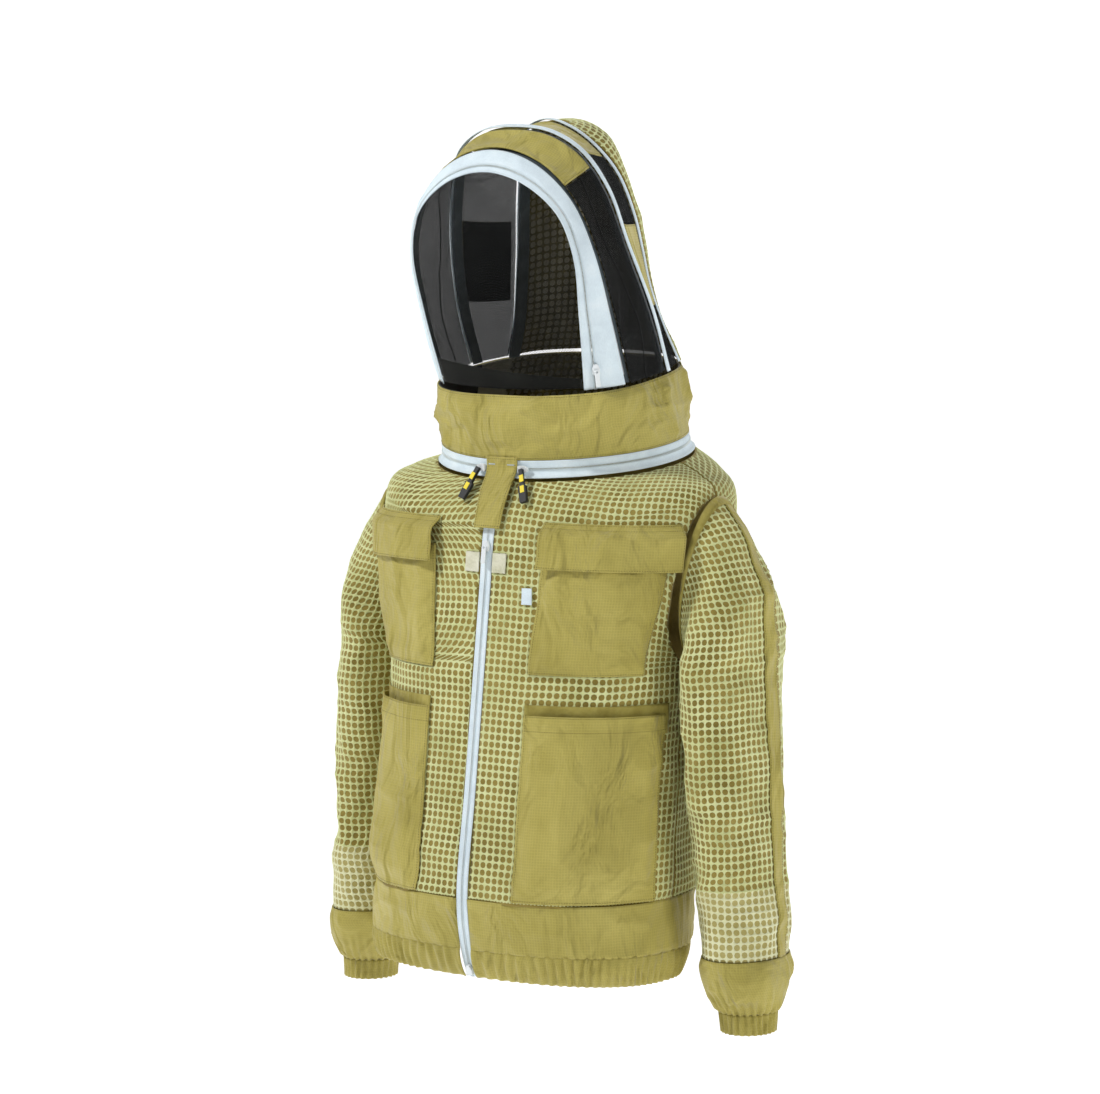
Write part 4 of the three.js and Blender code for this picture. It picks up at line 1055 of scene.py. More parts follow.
# %% The stitch tree
def stitch_tree():
    """Small bars along a path, lying on its tangent and upright to the direction kept at each point."""
    tree, g, given, output = start_tree("stitches", [
        ("Spacing", "Float", 0.003), ("Length", "Float", 0.0022), ("Width", "Float", 0.0005), (
            "Height", "Float", 0.0004,
        ),
        ("Finish", "Material", None)])
    line = g.node("GeometryNodeMeshToCurve", Mesh=given["Cloth"])
    even = g.node("GeometryNodeResampleCurve", {"mode": "LENGTH"}, Curve=line.outputs[0])
    g.feed(even.inputs["Length"], given["Spacing"])
    size = g.node("ShaderNodeCombineXYZ", X=given["Length"], Y=given["Width"], Z=given["Height"])
    bar = g.node("GeometryNodeMeshIcoSphere", Radius=0.5, Subdivisions=1)
    sized = g.node("GeometryNodeTransform", Geometry=bar.outputs[0], Scale=size.outputs[0])
    tangent = g.node("GeometryNodeInputTangent").outputs[0]
    out = g.node("GeometryNodeInputNamedAttribute", {"data_type": "FLOAT_VECTOR"}, _0="out").outputs[0]
    turned = g.node("FunctionNodeAlignRotationToVector", {"axis": "X"}, Vector=tangent)
    stood = g.node(
        "FunctionNodeAlignRotationToVector", {"axis": "Z", "pivot_axis": "X"}, Rotation=turned.outputs[0],
        Vector=out,
    )
    bars = g.node(
        "GeometryNodeInstanceOnPoints", Points=even.outputs[0], Instance=sized.outputs[0],
        Rotation=stood.outputs[0],
    )
    end_tree(g, bars.outputs[0], given["Finish"], output)
    return tree


STITCHES = stitch_tree()


def path_host(paths):
    """Bare lines through (points, outward) arrays in millimetres."""
    verts, outs, edges = [], [], []
    for p, n in paths:
        base = len(verts)
        verts += list(p * MM)
        outs += list(n)
        edges += [(base + k, base + k + 1) for k in range(len(p) - 1)]
    mesh = bpy.data.meshes.new("path")
    mesh.from_pydata([tuple(v) for v in verts], edges, [])
    mesh.attributes.new("out", "FLOAT_VECTOR", "POINT").data.foreach_set(
        "vector", np.ascontiguousarray(outs, np.float32).ravel(),
    )
    host = bpy.data.objects.new("path", mesh)
    bpy.context.scene.collection.objects.link(host)
    return host


def bars_along(
    name, paths, body, finish, spacing=0.0031, length=0.0023, width=0.0006, height=0.0005, ride=True,
):
    host = path_host(paths)
    mesh = bake(
        name, host, STITCHES,
        {"Spacing": spacing, "Length": length, "Width": width, "Height": height, "Finish": finish},
    )
    drop(host)
    print(name, len(mesh.polygons), "faces")
    return place_piece(name, mesh, body if ride else None)


def seam_path(p, way, share, lift=0.1, ring=False, inset=0.0, start=0.0, end=1.0):
    """A path on a cloth grid along a row ('across') or a column ('down') at a share, kept an inset in millimetres inside."""
    n = normals(p, ring)
    rows, columns = p.shape[0] - 1, p.shape[1] - 1
    if way == "across":
        lengths = np.linalg.norm(np.diff(p, axis=0), axis=-1).sum(0).mean()
        k = np.clip((share + inset / lengths) * rows, 0, rows)
        a, t = int(min(k, rows - 1)), k - int(min(k, rows - 1))
        line, out = lerp(p[a], p[a + 1], t), lerp(n[a], n[a + 1], t)
    else:
        lengths = np.linalg.norm(np.diff(p, axis=1), axis=-1).sum(1).mean()
        k = np.clip((share + inset / lengths) * columns, 0, columns)
        a, t = int(min(k, columns - 1)), k - int(min(k, columns - 1))
        line, out = lerp(p[:, a], p[:, a + 1], t), lerp(n[:, a], n[:, a + 1], t)
    first, last = int(start * (len(line) - 1)), int(math.ceil(end * (len(line) - 1))) + 1
    line, out = line[first:last], unit(out[first:last])
    return line + out * lift, out


# %% [markdown]
# ## Body
# Two front panels and a back, sewn at the sides and cut out for the arms. The fabric is two lattices with a
# springy knit between them, so each panel is a knit sheet with the lattice laid on it. Pockets share the
# body's folds, because they are sewn down on it.

# %% Folds of the body
def body_folds(p):
    """How far the body's cloth stands from its rule, in millimetres; quiet at the zip, the neck and the waist band."""
    away_from_zip = smooth(np.abs(p[..., 0]) + np.where(p[..., 1] > 20, 200, 0), 10, 80)
    free = away_from_zip * smooth(-p[..., 2], 20, 110)
    drape = 4.2 * (creases(p, (1, 0.8, 0.5), 105, 11) - 0.25) + 2.0 * creases(p, (0.9, 1, 1.3), 52, 23)
    return drape * free


def on_body(p, height=0.0):
    """A grid on the body's rule, moved with the body's folds and lifted by a height."""
    n = normals(p, False)
    return p + n * (body_folds(p) + height)[..., None]


KNIT_DROP = 1.15  # how deep the knit floor lies under the lattice's crests


def mesh_cloth(
    name, p, ring=False, ride=True, inner_lattice=False, nodes=None, anchor=(0.0, 1.0),
):
    """A piece of the ventilated fabric: knit floor, lattice, and a second lattice where its wrong side shows, in
    darker yarn as painted shade.
    """
    floor = pushed(p, -KNIT_DROP, ring)
    wall = MESH_CLOTH - KNIT_DROP * (2 if inner_lattice else 1)
    base = cloth(
        name, floor, wall, spacer_knit, ring, ride, nodes,
        inside=inner_knit if inner_lattice else None,
    )
    body = BODY_OF[(nodes or [name])[0]]
    laid = [lattice_on(name + "_lattice", p, body, ring, ride=ride, anchor=anchor)]
    if inner_lattice:
        # the wrong side's lattice gets the darker yarn: painted shade inside the hood
        laid.append(lattice_on(
            name + "_inner_lattice", p, body, ring, face_in=True, ride=ride, anchor=anchor, yarn=inner_yarn_painted_shade,
        ))
    return base, laid


front_left = on_body(grid_of(front_panel, 60, 112))
front_right_rule = mirrored(grid_of(front_panel, 60, 112))
front_right = on_body(front_right_rule)
mesh_cloth("front_panel_left", front_left)
mesh_cloth("front_panel_right", front_right)
back = on_body(grid_of(back_panel, 120, 112))
mesh_cloth("back_panel", back)
print("body panels:", len(PIECES))

# %% Waist band and gathered hem
def gathers(p, count, depth, seed, ring=False):
    """Small upright pleats, uneven in width and depth, as elastic makes them."""
    u = np.linspace(0, 1, p.shape[1])[None, :]
    wander = 1.5 * soft_noise(p, 26, seed)
    strength = 0.65 + 0.5 * soft_noise(p, 40, seed + 5)
    wave = np.cos(2 * np.pi * count * u + wander * (1 if not ring else np.sin(np.pi * u) ** 0.3))
    return depth * wave * strength


band = grid_of(band_face(below(WAIST, -2), HEM_TOP), 240, 20)
band = pushed(
    band,
    1.4 + gathers(band, 46, 0.8, 31) * smooth(np.linspace(0, 1, 21), 0.3, 1.0)[:, None] + 2.6 * creases(band, (0.8, 0.8, 1.1), 46, 33) * held(band, 0.2, 0.1, 0.03),
)
cloth("waist_band", band, PLAIN_CLOTH, ripstop)
hem = grid_of(band_face(below(HEM_TOP, -1.5), HEM_END), 640, 14)
hem_v = np.linspace(0, 1, 15)[:, None]
hem = pushed(
    hem,
    1.0 + gathers(hem, 92, 3.0, 37) * (1 - 0.45 * np.abs(2 * hem_v - 1) ** 4) + 2.6 * np.sin(np.pi * hem_v) ** 0.7,
)
cloth("hem_casing", hem, PLAIN_CLOTH, ripstop)

# %% Pockets
POCKET_INNER = 16.5
CHEST_POCKET = dict(outer=66, top=-112, bottom=-262, depth=9)
CHEST_FLAP = dict(outer=71, top=-78, bottom=-134, depth=15)
LOWER_POCKET = dict(outer=79, top=-311, bottom=-537, depth=11)


def body_patch(inner, outer, top, bottom):
    def face(u, v):
        turn = lerp(inner, outer, u)
        return body_face(turn, level_at(turn, lerp(top, bottom, v)))
    return face


def shares(p):
    return np.meshgrid(np.linspace(0, 1, p.shape[1]), np.linspace(0, 1, p.shape[0]))


def pocket(name, spec, seed, columns, rows):
    """A pouch sewn at its sides and foot, with soft folds that hang from its mouth."""
    rule = grid_of(body_patch(POCKET_INNER, spec["outer"], spec["top"], spec["bottom"]), columns, rows)
    for side, base, shift in (("left", rule, 0), ("right", mirrored(rule), 50)):
        u, v = shares(base)
        free = smooth(np.minimum(u, 1 - u), 0, 0.14) * smooth(1 - v, 0, 0.12)
        pouch = FACE_GAP + PLAIN_CLOTH + spec["depth"] * free * (0.62 + 0.2 * soft_noise(
            base, 70, seed + shift,
        ))
        sag = 2.6 * creases(base, (1, 1, 0.6), 62, seed + shift) * held(base, 0.1, 0.05, 0.06)
        p = on_body(base, pouch + sag)
        cloth(f"{name}_{side}", p, PLAIN_CLOTH, ripstop)
        inset = 2.5
        rows_of = [seam_path(p, "down", 0, inset=inset), seam_path(p, "down", 1, inset=-inset), seam_path(p, "across", 1, inset=-inset),
                   seam_path(p, "across", 0, inset=19), seam_path(p, "across", 0, inset=1.6)]
        bars_along(f"{name}_{side}_stitches", rows_of, "jacket", thread_and_seam_shade)


pocket("chest_pocket", CHEST_POCKET, 41, 56, 56)
pocket("lower_pocket", LOWER_POCKET, 43, 70, 80)

# %% Pocket flaps
flap_rule = grid_of(
    body_patch(POCKET_INNER - 0.6, CHEST_FLAP["outer"], CHEST_FLAP["top"], CHEST_FLAP["bottom"]), 56, 26,
)
for side, base in (("left", flap_rule), ("right", mirrored(flap_rule))):
    u, v = shares(base)
    rise = FACE_GAP + PLAIN_CLOTH + CHEST_FLAP["depth"] * smooth(v, 0, 0.3) * 0.8
    curl = 2.2 * soft_noise(base, 45, 61 if side == "left" else 67) * smooth(v, 0.1, 0.9)
    p = on_body(base, rise + curl)
    cloth(f"chest_flap_{side}", p, PLAIN_CLOTH, ripstop)
    rows_of = [seam_path(p, "down", 0, inset=2.5), seam_path(p, "down", 1, inset=-2.5), seam_path(p, "across", 1, inset=-2.5),
               seam_path(p, "across", 0, inset=2.2), seam_path(p, "across", 0, inset=8.5)]
    bars_along(f"chest_flap_{side}_stitches", rows_of, f"chest_flap_{side}", thread_and_seam_shade)

# %% Pocket facings
for side, sign, phase in (("left", 1, 0.0), ("right", -1, 0.8)):
    rule = grid_of(
        body_patch(POCKET_INNER, LOWER_POCKET["outer"] + 2, LOWER_POCKET["top"] + 13, LOWER_POCKET["top"] - 24),
        60, 10,
    )
    rule = rule if sign > 0 else mirrored(rule)
    p = on_body(rule, 1.6 + 0 * rule[..., 0])
    cloth(f"pocket_facing_{side}", p, 1.0, ripstop_edge, nodes=[], body="jacket")

# %% [markdown]
# ## Front zip
# Two white tapes with a coil chain between them, from the neck down over waist band and hem.

# %% Zip tapes and chain
front_line = Line([body_face(0, level) for level in (0.02, 1, 2, 3, 4, 5, 6)] + [
    section_point(HEM_TOP, 0), section_point(HEM_END, 0),
])
CHAIN_GAP = 0.4  # half the space between the two tapes


def front_tape(u, v):
    return front_line.at(v) + points(lerp(CHAIN_GAP, FRONT_ZIP_HALF_WIDTH, u), 0, 0)


for side in ("left", "right"):
    p = grid_of(front_tape, 6, 150)
    p = p if side == "left" else mirrored(p)
    cloth(f"main_zip_tape_{side}", p, TAPE, white_tape)
centre = front_line.at(np.linspace(0, 1, 200))
slope = unit(np.gradient(centre, axis=0))
front_out = unit(np.stack([0 * slope[:, 0], slope[:, 2], -slope[:, 1]], -1))
for side, sign in (("left", 1), ("right", -1)):
    shift = points(sign * 1.1, 0, 0)
    run = slice(0, None) if sign > 0 else slice(1, None)
    bars_along(f"main_zip_coil_{side}", [((centre + front_out * 0.5 + shift)[run], front_out[run])], "jacket", white_thread,
               spacing=0.0016, length=0.0011, width=0.0026, height=0.0012)
tape_stitches = []
for side, x in (("left", 6.6), ("right", -6.6)):
    tape_stitches.append((centre + front_out * 0.15 + points(x, 0, 0), front_out))
bars_along("main_zip_stitches", tape_stitches, "jacket", white_thread)

# %% [markdown]
# ## Sleeves
# The head is a fan that swings from the upright armhole to the hanging tube. Tube and head carry diagonal
# folds where the cloth hangs from the shoulder, and a plain strip covers the outer seam. The cuff is plain
# cloth gathered by the wrist's elastic.

# %% Sleeve grids
def sleeve_folds(p, seed):
    return 5.0 * (creases(p, (1, 1, 0.55), 66, seed) - 0.2) + 1.8 * creases(p, (1, 1, 1.2), 38, seed + 9)


tube_end = {**SLEEVE_END, "z": SLEEVE_END["z"] + SEAM_GAP}
SLEEVE_COLUMNS = 108
STRIP_FROM, STRIP_TO = 0.5, 0.545  # the strip's place round the sleeve
PALE_BELOW = -0.521  # the fabric is lined, and paler, from here to the cuff
for side, seed in (("left", 71), ("right", 83)):
    sleeve = f"sleeve_{side}"
    turned = (lambda p: p) if side == "left" else mirrored
    head = grid_of(sleeve_head, SLEEVE_COLUMNS, 56)
    tube = grid_of(sleeve_face(SLEEVE_TOP, tube_end), SLEEVE_COLUMNS, 84)
    arm = turned(np.concatenate([head[:-1], tube]))
    arm = closed(pushed(arm, sleeve_folds(arm, seed) * held(arm, top=0.16, foot=0.06), ring=True))
    base, laid = mesh_cloth(
        sleeve, arm, ring=True, ride=False, nodes=[f"sleeve_head_{side}", f"sleeve_tube_{side}"],
        anchor=(0.5, 1.0),
    )
    for obj, pale in ((base, pale_knit), (laid[0], pale_yarn)):
        obj.data.materials.append(pale)
        for face in obj.data.polygons:
            if face.center[2] < PALE_BELOW:
                face.material_index = len(obj.data.materials) - 1
    cuff = turned(grid_of(cuff_face, 220, 30))
    cuff_v = shares(cuff)[1]
    cuff = closed(pushed(
        cuff,
        1.2 + gathers(cuff, 26, 2.6, seed + 3, ring=True) * smooth(cuff_v, 0.3, 1.0) + 3.4 * creases(cuff, (1, 1, 0.6), 34, seed + 4) * held(cuff, 0.2, 0.1),
        ring=True,
    ))
    cloth(f"sleeve_cuff_{side}", cuff, PLAIN_CLOTH, ripstop, ring=True)
    wrist = turned(grid_of(sleeve_face(WRIST_TOP, WRIST_END), 220, 12))
    wrist = closed(pushed(wrist, 1.2 + gathers(wrist, 26, 2.6, seed + 3, ring=True), ring=True))
    cloth(f"wrist_elastic_{side}", wrist, PLAIN_CLOTH * 1.5, ripstop, ring=True)
    first, last = round(STRIP_FROM * SLEEVE_COLUMNS), round(STRIP_TO * SLEEVE_COLUMNS)
    columns = slice(first, last + 1) if side == "left" else slice(
        SLEEVE_COLUMNS - last, SLEEVE_COLUMNS - first + 1,
    )
    strip = pushed(arm, 1.0, ring=True)[:, columns]
    strip_piece = cloth(
        f"sleeve_strip_{side}", strip, 1.0, ripstop, ride=False, nodes=[], body=sleeve,
    )
    strip_rows = [seam_path(strip, "down", 0, inset=1.5), seam_path(strip, "down", 1, inset=-1.5)]
    strip_thread = bars_along(
        f"sleeve_strip_{side}_stitches", strip_rows, sleeve, thread_and_seam_shade, ride=False,
    )
    seam = pushed(arm, 1.3, ring=True)[:3]
    armhole_seam = cloth(
        f"armhole_seam_{side}", seam, 1.0, ripstop_edge, ring=True, ride=False, nodes=[],
        body=sleeve,
    )
    sign = 1 if side == "left" else -1
    for piece in (base, laid[0], strip_piece, strip_thread, armhole_seam):
        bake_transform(piece)

# %% [markdown]
# ## Collar, neck zip and throat flap
# The collar stands up to carry the hood's hoops. Its soft diagonal folds come from the weight of the hood.

# %% Collar
collar = grid_of(lambda u, v: collar_face(360 * u, 1 - v), 240, 24)
sway = 8.0 * (creases(collar, (1, 1, 0.8), 58, 91) - 0.1) + 3.0 * creases(collar, (0.9, 0.9, 1.3), 30, 93)
collar = closed(pushed(collar, np.maximum(sway, -0.4) * held(collar, 0.12, 0.15), ring=True))
cloth("collar", collar, PLAIN_CLOTH, ripstop, ring=True)
collar_stitches = [
    seam_path(collar, "across", 0, inset=2.4, ring=True),
    seam_path(collar, "across", 1, inset=-2.4, ring=True),
]
bars_along("collar_stitches", collar_stitches, "hood", thread_and_seam_shade)
lining = grid_of(lambda u, v: collar_face(360 * u, lerp(0.99, 1 - LINING_HEIGHT / COLLAR_HEIGHT, v)), 180, 12)
lining = closed(pushed(lining, -PLAIN_CLOTH - LAYER_GAP, ring=True))
lined = cloth("collar_lining", lining, PLAIN_CLOTH, black_lining, ring=True)
rear = lining[:, 40:120]
# darker yarn: painted shade inside the collar
rear_lattice = lattice_on("collar_lining_lattice", rear, "hood", face_in=True, yarn=inner_yarn_painted_shade)
lined.data.materials.append(inner_knit)
for face in lined.data.polygons:
    if face.center[1] > 0.0 - 0.3 * face.center[0]:
        face.material_index = 1

# %% Neck zip
upper_tape = grid_of(lambda u, v: neck_ring(360 * u, lerp(ZIP_TAPE_WIDTH, SEAM_GAP, v), 0), 200, 6)
lower_tape = grid_of(
    lambda u, v: neck_ring(360 * u, lerp(-SEAM_GAP, -ZIP_TAPE_WIDTH, v), LOWER_TAPE_FLARE * v**3), 200, 6,
)
cloth("neck_zip_tape_upper", upper_tape, TAPE, white_tape, ring=True)
cloth("neck_zip_tape_lower", lower_tape, TAPE, white_tape, ring=True)
ring_turn = np.linspace(0, 360, 361)
for name, body, height, begin in (
    ("neck_zip_coil_upper", "hood", 0.9, 0), ("neck_zip_coil_lower", "jacket", -0.9, 1),
):
    line = neck_ring(ring_turn, height, 0.5)
    out = unit(neck_ring(ring_turn, height, 1.5) - line)
    bars_along(
        name, [(line[begin:], out[begin:])], body, white_thread, spacing=0.0016, length=0.0011,
        width=0.0026, height=0.0012,
    )
for name, body, p, share, inset in (
    ("neck_zip_stitches_upper", "hood", upper_tape, 0, 2),
    ("neck_zip_stitches_lower", "jacket", lower_tape, 1, -2),
):
    bars_along(
        name, [seam_path(p, "across", share, inset=inset, ring=True)], body, white_thread,
    )

# %% Throat flap
FLAP_WIDTH, FLAP_TIP_WIDTH, FLAP_LENGTH, THROAT_LIFT = 46, 36, 92, 9
flap_line = Line([neck_ring(0, 14, 0) + np.array([0, -PLAIN_CLOTH - LAYER_GAP, 0]), neck_ring(0, 0, PLAIN_CLOTH + 3),
                  front_line.at(0.03) + np.array([0, -THROAT_LIFT, 0]), front_line.at(0.13) + np.array([
                      0, -THROAT_LIFT - 2, 0,
                  ])])


def throat_flap(u, v):
    share = v * min(1, FLAP_LENGTH / flap_line.total)
    half = lerp(FLAP_WIDTH, FLAP_TIP_WIDTH, share) / 2
    return flap_line.at(share) + points(lerp(-1, 1, u) * half, 0, 0)


flap = grid_of(throat_flap, 24, 44)
u, v = shares(flap)
flap = pushed(flap, -1.6 * (2 * u - 1) ** 2 + 0.8 * soft_noise(flap, 30, 97) * smooth(v, 0.2, 1))
cloth("throat_flap", flap, PLAIN_CLOTH, ripstop)
bars_along("throat_flap_stitches", [seam_path(flap, "down", 0, inset=2.5), seam_path(flap, "down", 1, inset=-2.5), seam_path(flap, "across", 1, inset=-2.5),
                                    seam_path(
                                        flap, "across", 0, inset=2.5,
                                    )], "throat_flap", thread_and_seam_shade)
tacks = [seam_path(flap, "across", 0.1, lift=0.4, start=a, end=a + 0.16) for a in (0.1, 0.72)]
bars_along(
    "throat_flap_tacks", tacks, "throat_flap", white_thread, spacing=0.0009, length=0.0007,
    width=0.0024, height=0.0012,
)

# %% Fastening pads and the blank size label
PAD_TOP, PAD_WIDTH, PAD_HEIGHT = -118, 20, 24
LABEL_INNER, LABEL_TOP, LABEL_WIDTH, LABEL_HEIGHT = 56, -158, 14, 20


def small_patch(inner, width, top, height, turn):
    def face(u, v):
        level = level_at(turn + 0 * v, lerp(top, top - height, v))
        return body_face(turn_beside(lerp(inner, inner + width, u), level), level)
    return face


pad = grid_of(small_patch(FRONT_ZIP_HALF_WIDTH + 2, PAD_WIDTH, PAD_TOP, PAD_HEIGHT, 4), 20, 24)
for side in ("left", "right"):
    base = pad if side == "left" else mirrored(pad)
    p = on_body(base, FACE_GAP + TAPE + 0.35 * soft_noise(base, 2.2, 101))
    cloth(f"velcro_pad_{side}", p, TAPE, loop_pile)
label = grid_of(small_patch(LABEL_INNER, LABEL_WIDTH, LABEL_TOP, LABEL_HEIGHT, 12), 10, 14)
cloth(
    "size_label", on_body(label, FACE_GAP + TAPE + 0 * label[..., 0]), TAPE / 2, white_tape,
)

# %% [markdown]
# ## Hood
# Three sprung hoops in tape casings hold the shape. Between them run gores: cloth at the crown, black
# netting at the sides. The white arch in front is a wide zip that lets the veil swing open.

# %% White arch and its zip
arch_outer = grid_of(between(band_gore, -HOOD_FOOT, HOOD_FOOT, 0.03, VEIL_TAPE_FROM - 0.01), 200, 12)
arch_inner = grid_of(between(band_gore, -HOOD_FOOT, HOOD_FOOT, VEIL_TAPE_FROM + 0.02, 0.98), 200, 6)
arch_outer = pushed(
    arch_outer,
    1.2 * creases(arch_outer, (1, 1, 1), 30, 111) * held(arch_outer, 0.2, 0.2, 0.02) + 1.5 * np.sin(np.pi * shares(arch_outer)[1]),
)
cloth("veil_zip_tape_outer", arch_outer, TAPE, white_tape)
cloth("veil_zip_tape_inner", arch_inner, TAPE, white_tape)
share = np.linspace(-HOOD_FOOT, HOOD_FOOT, 300)
for name, body, v, begin in (
    ("veil_zip_coil_outer", "hood", VEIL_TAPE_FROM - 0.005, 0),
    ("veil_zip_coil_inner", "veil", VEIL_TAPE_FROM + 0.035, 1),
):
    line = band_gore((share + 1) / 2, v + 0 * share)
    beside = band_gore((share + 1) / 2, v + 0.05 + 0 * share)
    out = unit(np.cross(unit(np.gradient(line, axis=0)), unit(beside - line)))
    out = out * np.sign(out[..., 2:3] + out[..., 0:1] * line[..., 0:1] * 0.1)
    bars_along(
        name, [((line + out * 0.5)[begin:], out[begin:])], body, white_thread, spacing=0.0016,
        length=0.0011, width=0.0022, height=0.0012,
    )
bars_along(
    "veil_zip_stitches_outer",
    [seam_path(arch_outer, "across", 0, inset=2), seam_path(arch_outer, "across", 1, inset=-2.5)], "hood",
    white_thread,
)
bars_along(
    "veil_zip_stitches_inner", [seam_path(arch_inner, "across", 1, inset=-2)], "veil", white_thread,
)

# %% Crown, side nets and patches
def gore_piece(face, from_share, to_share, margin, columns, rows):
    return grid_of(between(face, from_share, to_share, margin, 1 - margin), columns, rows)


for name, face, reach, margin, seed in (
    ("crown_panel_front", front_gore, FRONT_CROWN_SHARE, FRONT_MARGIN, 121),
    ("crown_panel_rear", rear_gore, REAR_CROWN_SHARE, REAR_MARGIN, 123),
):
    p = gore_piece(face, -reach, reach, margin, 80, 24)
    p = pushed(
        p,
        (1.5 * creases(p, (1, 1, 1), 36, seed) - 2.0 * np.sin(np.pi * shares(p)[1])) * held(p, 0.1, 0.1, 0.06),
    )
    cloth(name, p, PLAIN_CLOTH, ripstop)
    bars_along(
        name + "_stitches", [seam_path(p, "down", 0, inset=2.5), seam_path(p, "down", 1, inset=-2.5)],
        "hood", thread_and_seam_shade,
    )
NET_GAP = 0.006
HAZE = 0.3  # the netting's own thickness in millimetres


def net_piece(name, p, haze, pitch, radius, body):
    base = cloth(name, p, HAZE, haze)
    threads = netting_on(name + "_threads", pushed(p, 0.15), body, pitch, radius)


for kind, face, reach, margin, seed in (
    ("side_net", front_gore, FRONT_CROWN_SHARE, FRONT_MARGIN, 131),
    ("rear_net", rear_gore, REAR_CROWN_SHARE, REAR_MARGIN, 137),
):
    for side in ("left", "right"):
        p = gore_piece(face, reach + NET_GAP, HOOD_FOOT, margin, 60, 24)
        p = p if side == "left" else mirrored(p)
        sag = -5.0 * np.sin(np.pi * shares(p)[1]) * np.sin(np.pi * shares(p)[0]) ** 0.5 + 2.5 * creases(
            p, (1, 1, 0.5), 44, seed,
        ) * held(p, 0.1, 0.1, 0.1)
        net = pushed(p, sag)
        net_piece(f"{kind}_{side}", net, side_haze, 0.0019, 0.00021, "hood")
        if kind == "side_net":
            fold_share = 0.45 + 0.13 * np.sin(np.linspace(0, 2.2 * np.pi, net.shape[1]))
            k = np.clip(fold_share * (len(net) - 1), 0, len(net) - 1.001)
            low, t = k.astype(int), (k - k.astype(int))[:, None]
            column = np.arange(net.shape[1])
            edge = lerp(net[low, column], net[low + 1, column], t)
            edge_out = normals(net, False)[low, column]
            bars_along(
                f"net_fold_{side}", [(edge + edge_out * 0.6, edge_out)], "hood", net_yarn,
                spacing=0.0016, length=0.0024, width=0.0022, height=0.0016,
            )
patch = gore_piece(rear_gore, PATCH_FROM, PATCH_TO, REAR_MARGIN + 0.06, 40, 30)
for side in ("left", "right"):
    base = patch if side == "left" else mirrored(patch)
    p = pushed(
        base,
        LAYER_GAP + PLAIN_CLOTH - 3.0 * np.sin(np.pi * shares(base)[1]) + 0.8 * creases(base, (1, 1, 1), 30, 141) * held(base, 0.1, 0.1, 0.1),
    )
    cloth(f"side_patch_{side}", p, PLAIN_CLOTH, ripstop, inside=black_lining)
    bars_along(f"side_patch_{side}_stitches", [seam_path(p, "across", 0, inset=2), seam_path(p, "across", 1, inset=-2), seam_path(p, "down", 0, inset=2), seam_path(p, "down", 1, inset=-2)],
               "hood", thread_and_seam_shade)

# %% Hood back
back_hood = grid_of(hood_back, 84, 70)
back_hood = pushed(
    back_hood, (2.6 * creases(back_hood, (1, 1, 0.7), 60, 151)) * held(back_hood, 0.1, 0.1, 0.06),
)
mesh_cloth("hood_back", back_hood, inner_lattice=True)

# %% Hoop bindings and casings
for name, curve, before, after in (
    ("front", arch_edge, veil_edge, middle_hoop), ("middle", middle_hoop, arch_edge, rear_hoop),
    ("rear", rear_hoop, middle_hoop, back_guide),
):
    if name != "front":
        p = grid_of(hoop_strip(curve, before, after, HOOP_TAPE_WIDTH, TAPE + 2 * LAYER_GAP), 200, 6)
        p = pushed(p, 0.7 * np.sin(np.pi * shares(p)[1]))
        cloth(f"hoop_binding_{name}", p, TAPE, white_tape)
        bars_along(
            f"hoop_binding_{name}_stitches",
            [seam_path(p, "across", 0, inset=1.6), seam_path(p, "across", 1, inset=-1.6)], "hood",
            white_thread,
        )
    p = grid_of(hoop_strip(curve, before, after, CASING_WIDTH, -(MESH_CLOTH + 3 * LAYER_GAP)), 200, 8)
    cloth(f"hoop_casing_{name}", p, TAPE, grey_tape)

# %% Veil
veil = grid_of(veil_face, 60, 70)
net_piece("veil_net", veil, veil_haze, 0.002, 0.00014, "veil")
FOOT_LEFT, FOOT_RIGHT = 11, 29  # height of the black band along the veil's foot
rows_u, rows_v = np.meshgrid(np.linspace(0, 1, 61), np.linspace(0, 1, 9))
drop_of = lerp(FOOT_RIGHT, FOOT_LEFT, rows_u) / 300
foot = pushed(veil_face(rows_u, 1 - drop_of * (1 - rows_v)), -0.8)
cloth("veil_foot_band", foot, 0.8, black_lining, nodes=[], body="veil")

# %% [markdown]
# ## Sliders, pulls and wire
# The hard pieces keep their frame shapes; each gets the finish of its material.

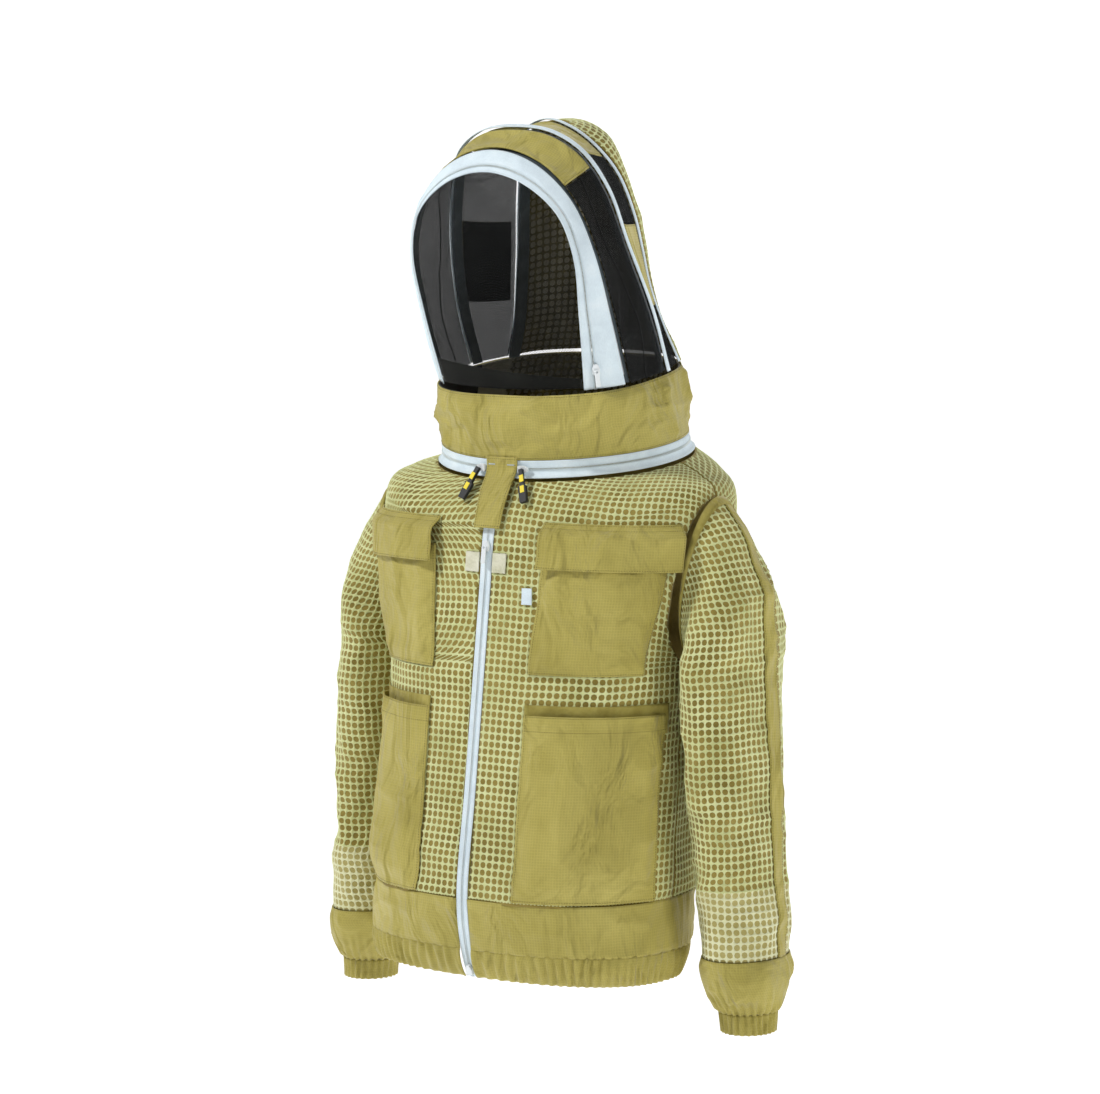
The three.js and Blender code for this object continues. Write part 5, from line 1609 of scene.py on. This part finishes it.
# %% Finishes on the kept frame pieces
KEPT = {
    "slider": enamel, "tab": enamel, "stay": spring_wire, "neck_pull": black_rubber, "elastic": knit_elastic,
}
INLAY_SIZE = (0.0028, 0.009, 0.0012)  # half width, length and thickness
INLAY_PLACES = (-0.1, 0.22)  # shares of the pull's length from its middle
for side in ("left", "right"):
    pull = frame["nodes"][f"neck_pull_{side}"]
    at = np.array([tuple(v.co) for v in pull.data.vertices])
    middle = (at.max(0) + at.min(0)) / 2
    axes = np.linalg.svd(at - at.mean(0), full_matrices=False)[2]
    spread = (at - middle) @ axes.T
    half_thick = np.abs(spread[:, 2]).max()
    face_out = axes[2] * (1 if axes[2][1] < 0 else -1)
    for step in INLAY_PLACES:
        centre = middle + axes[0] * step * np.ptp(spread[:, 0]) + face_out * half_thick
        corner = [centre + axes[1] * a * INLAY_SIZE[0] + axes[0] * b * INLAY_SIZE[1] / 2 + face_out * c * INLAY_SIZE[2] / 2 for a, b, c in itertools.product((-1, 1), repeat=3)]
        inlay = bpy.data.meshes.new(f"pull_inlay_{side}")
        inlay.from_pydata(
            [tuple(c) for c in corner], [],
            [(0, 1, 3, 2), (4, 6, 7, 5), (0, 4, 5, 1), (2, 3, 7, 6), (0, 2, 6, 4), (1, 5, 7, 3)],
        )
        shape = bmesh.new()
        shape.from_mesh(inlay)
        bmesh.ops.recalc_face_normals(shape, faces=shape.faces)
        shape.to_mesh(inlay)
        shape.free()
        inlay.materials.append(yellow_rubber)
        place_piece(
            f"pull_inlay_{side}_{'upper' if step < 0 else 'lower'}", inlay, f"neck_pull_{side}",
        )
for name, obj in frame["nodes"].items():
    if obj.hide_render:
        continue
    finish = next((f for key, f in KEPT.items() if key in name), ripstop)
    obj.data.materials.clear()
    obj.data.materials.append(finish)
    print("kept", name, finish.name)

# %% Measure the finished box and count the pieces
visual_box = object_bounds()
plain = lambda box: [[float(x) for x in corner] for corner in box]
{"cad": plain(cad_box), "visual": plain(visual_box)}
print(
    "pieces:", len(PIECES), "triangles:",
    sum(len(o.data.loops) - 2 * len(o.data.polygons) for o in PIECES.values())
)
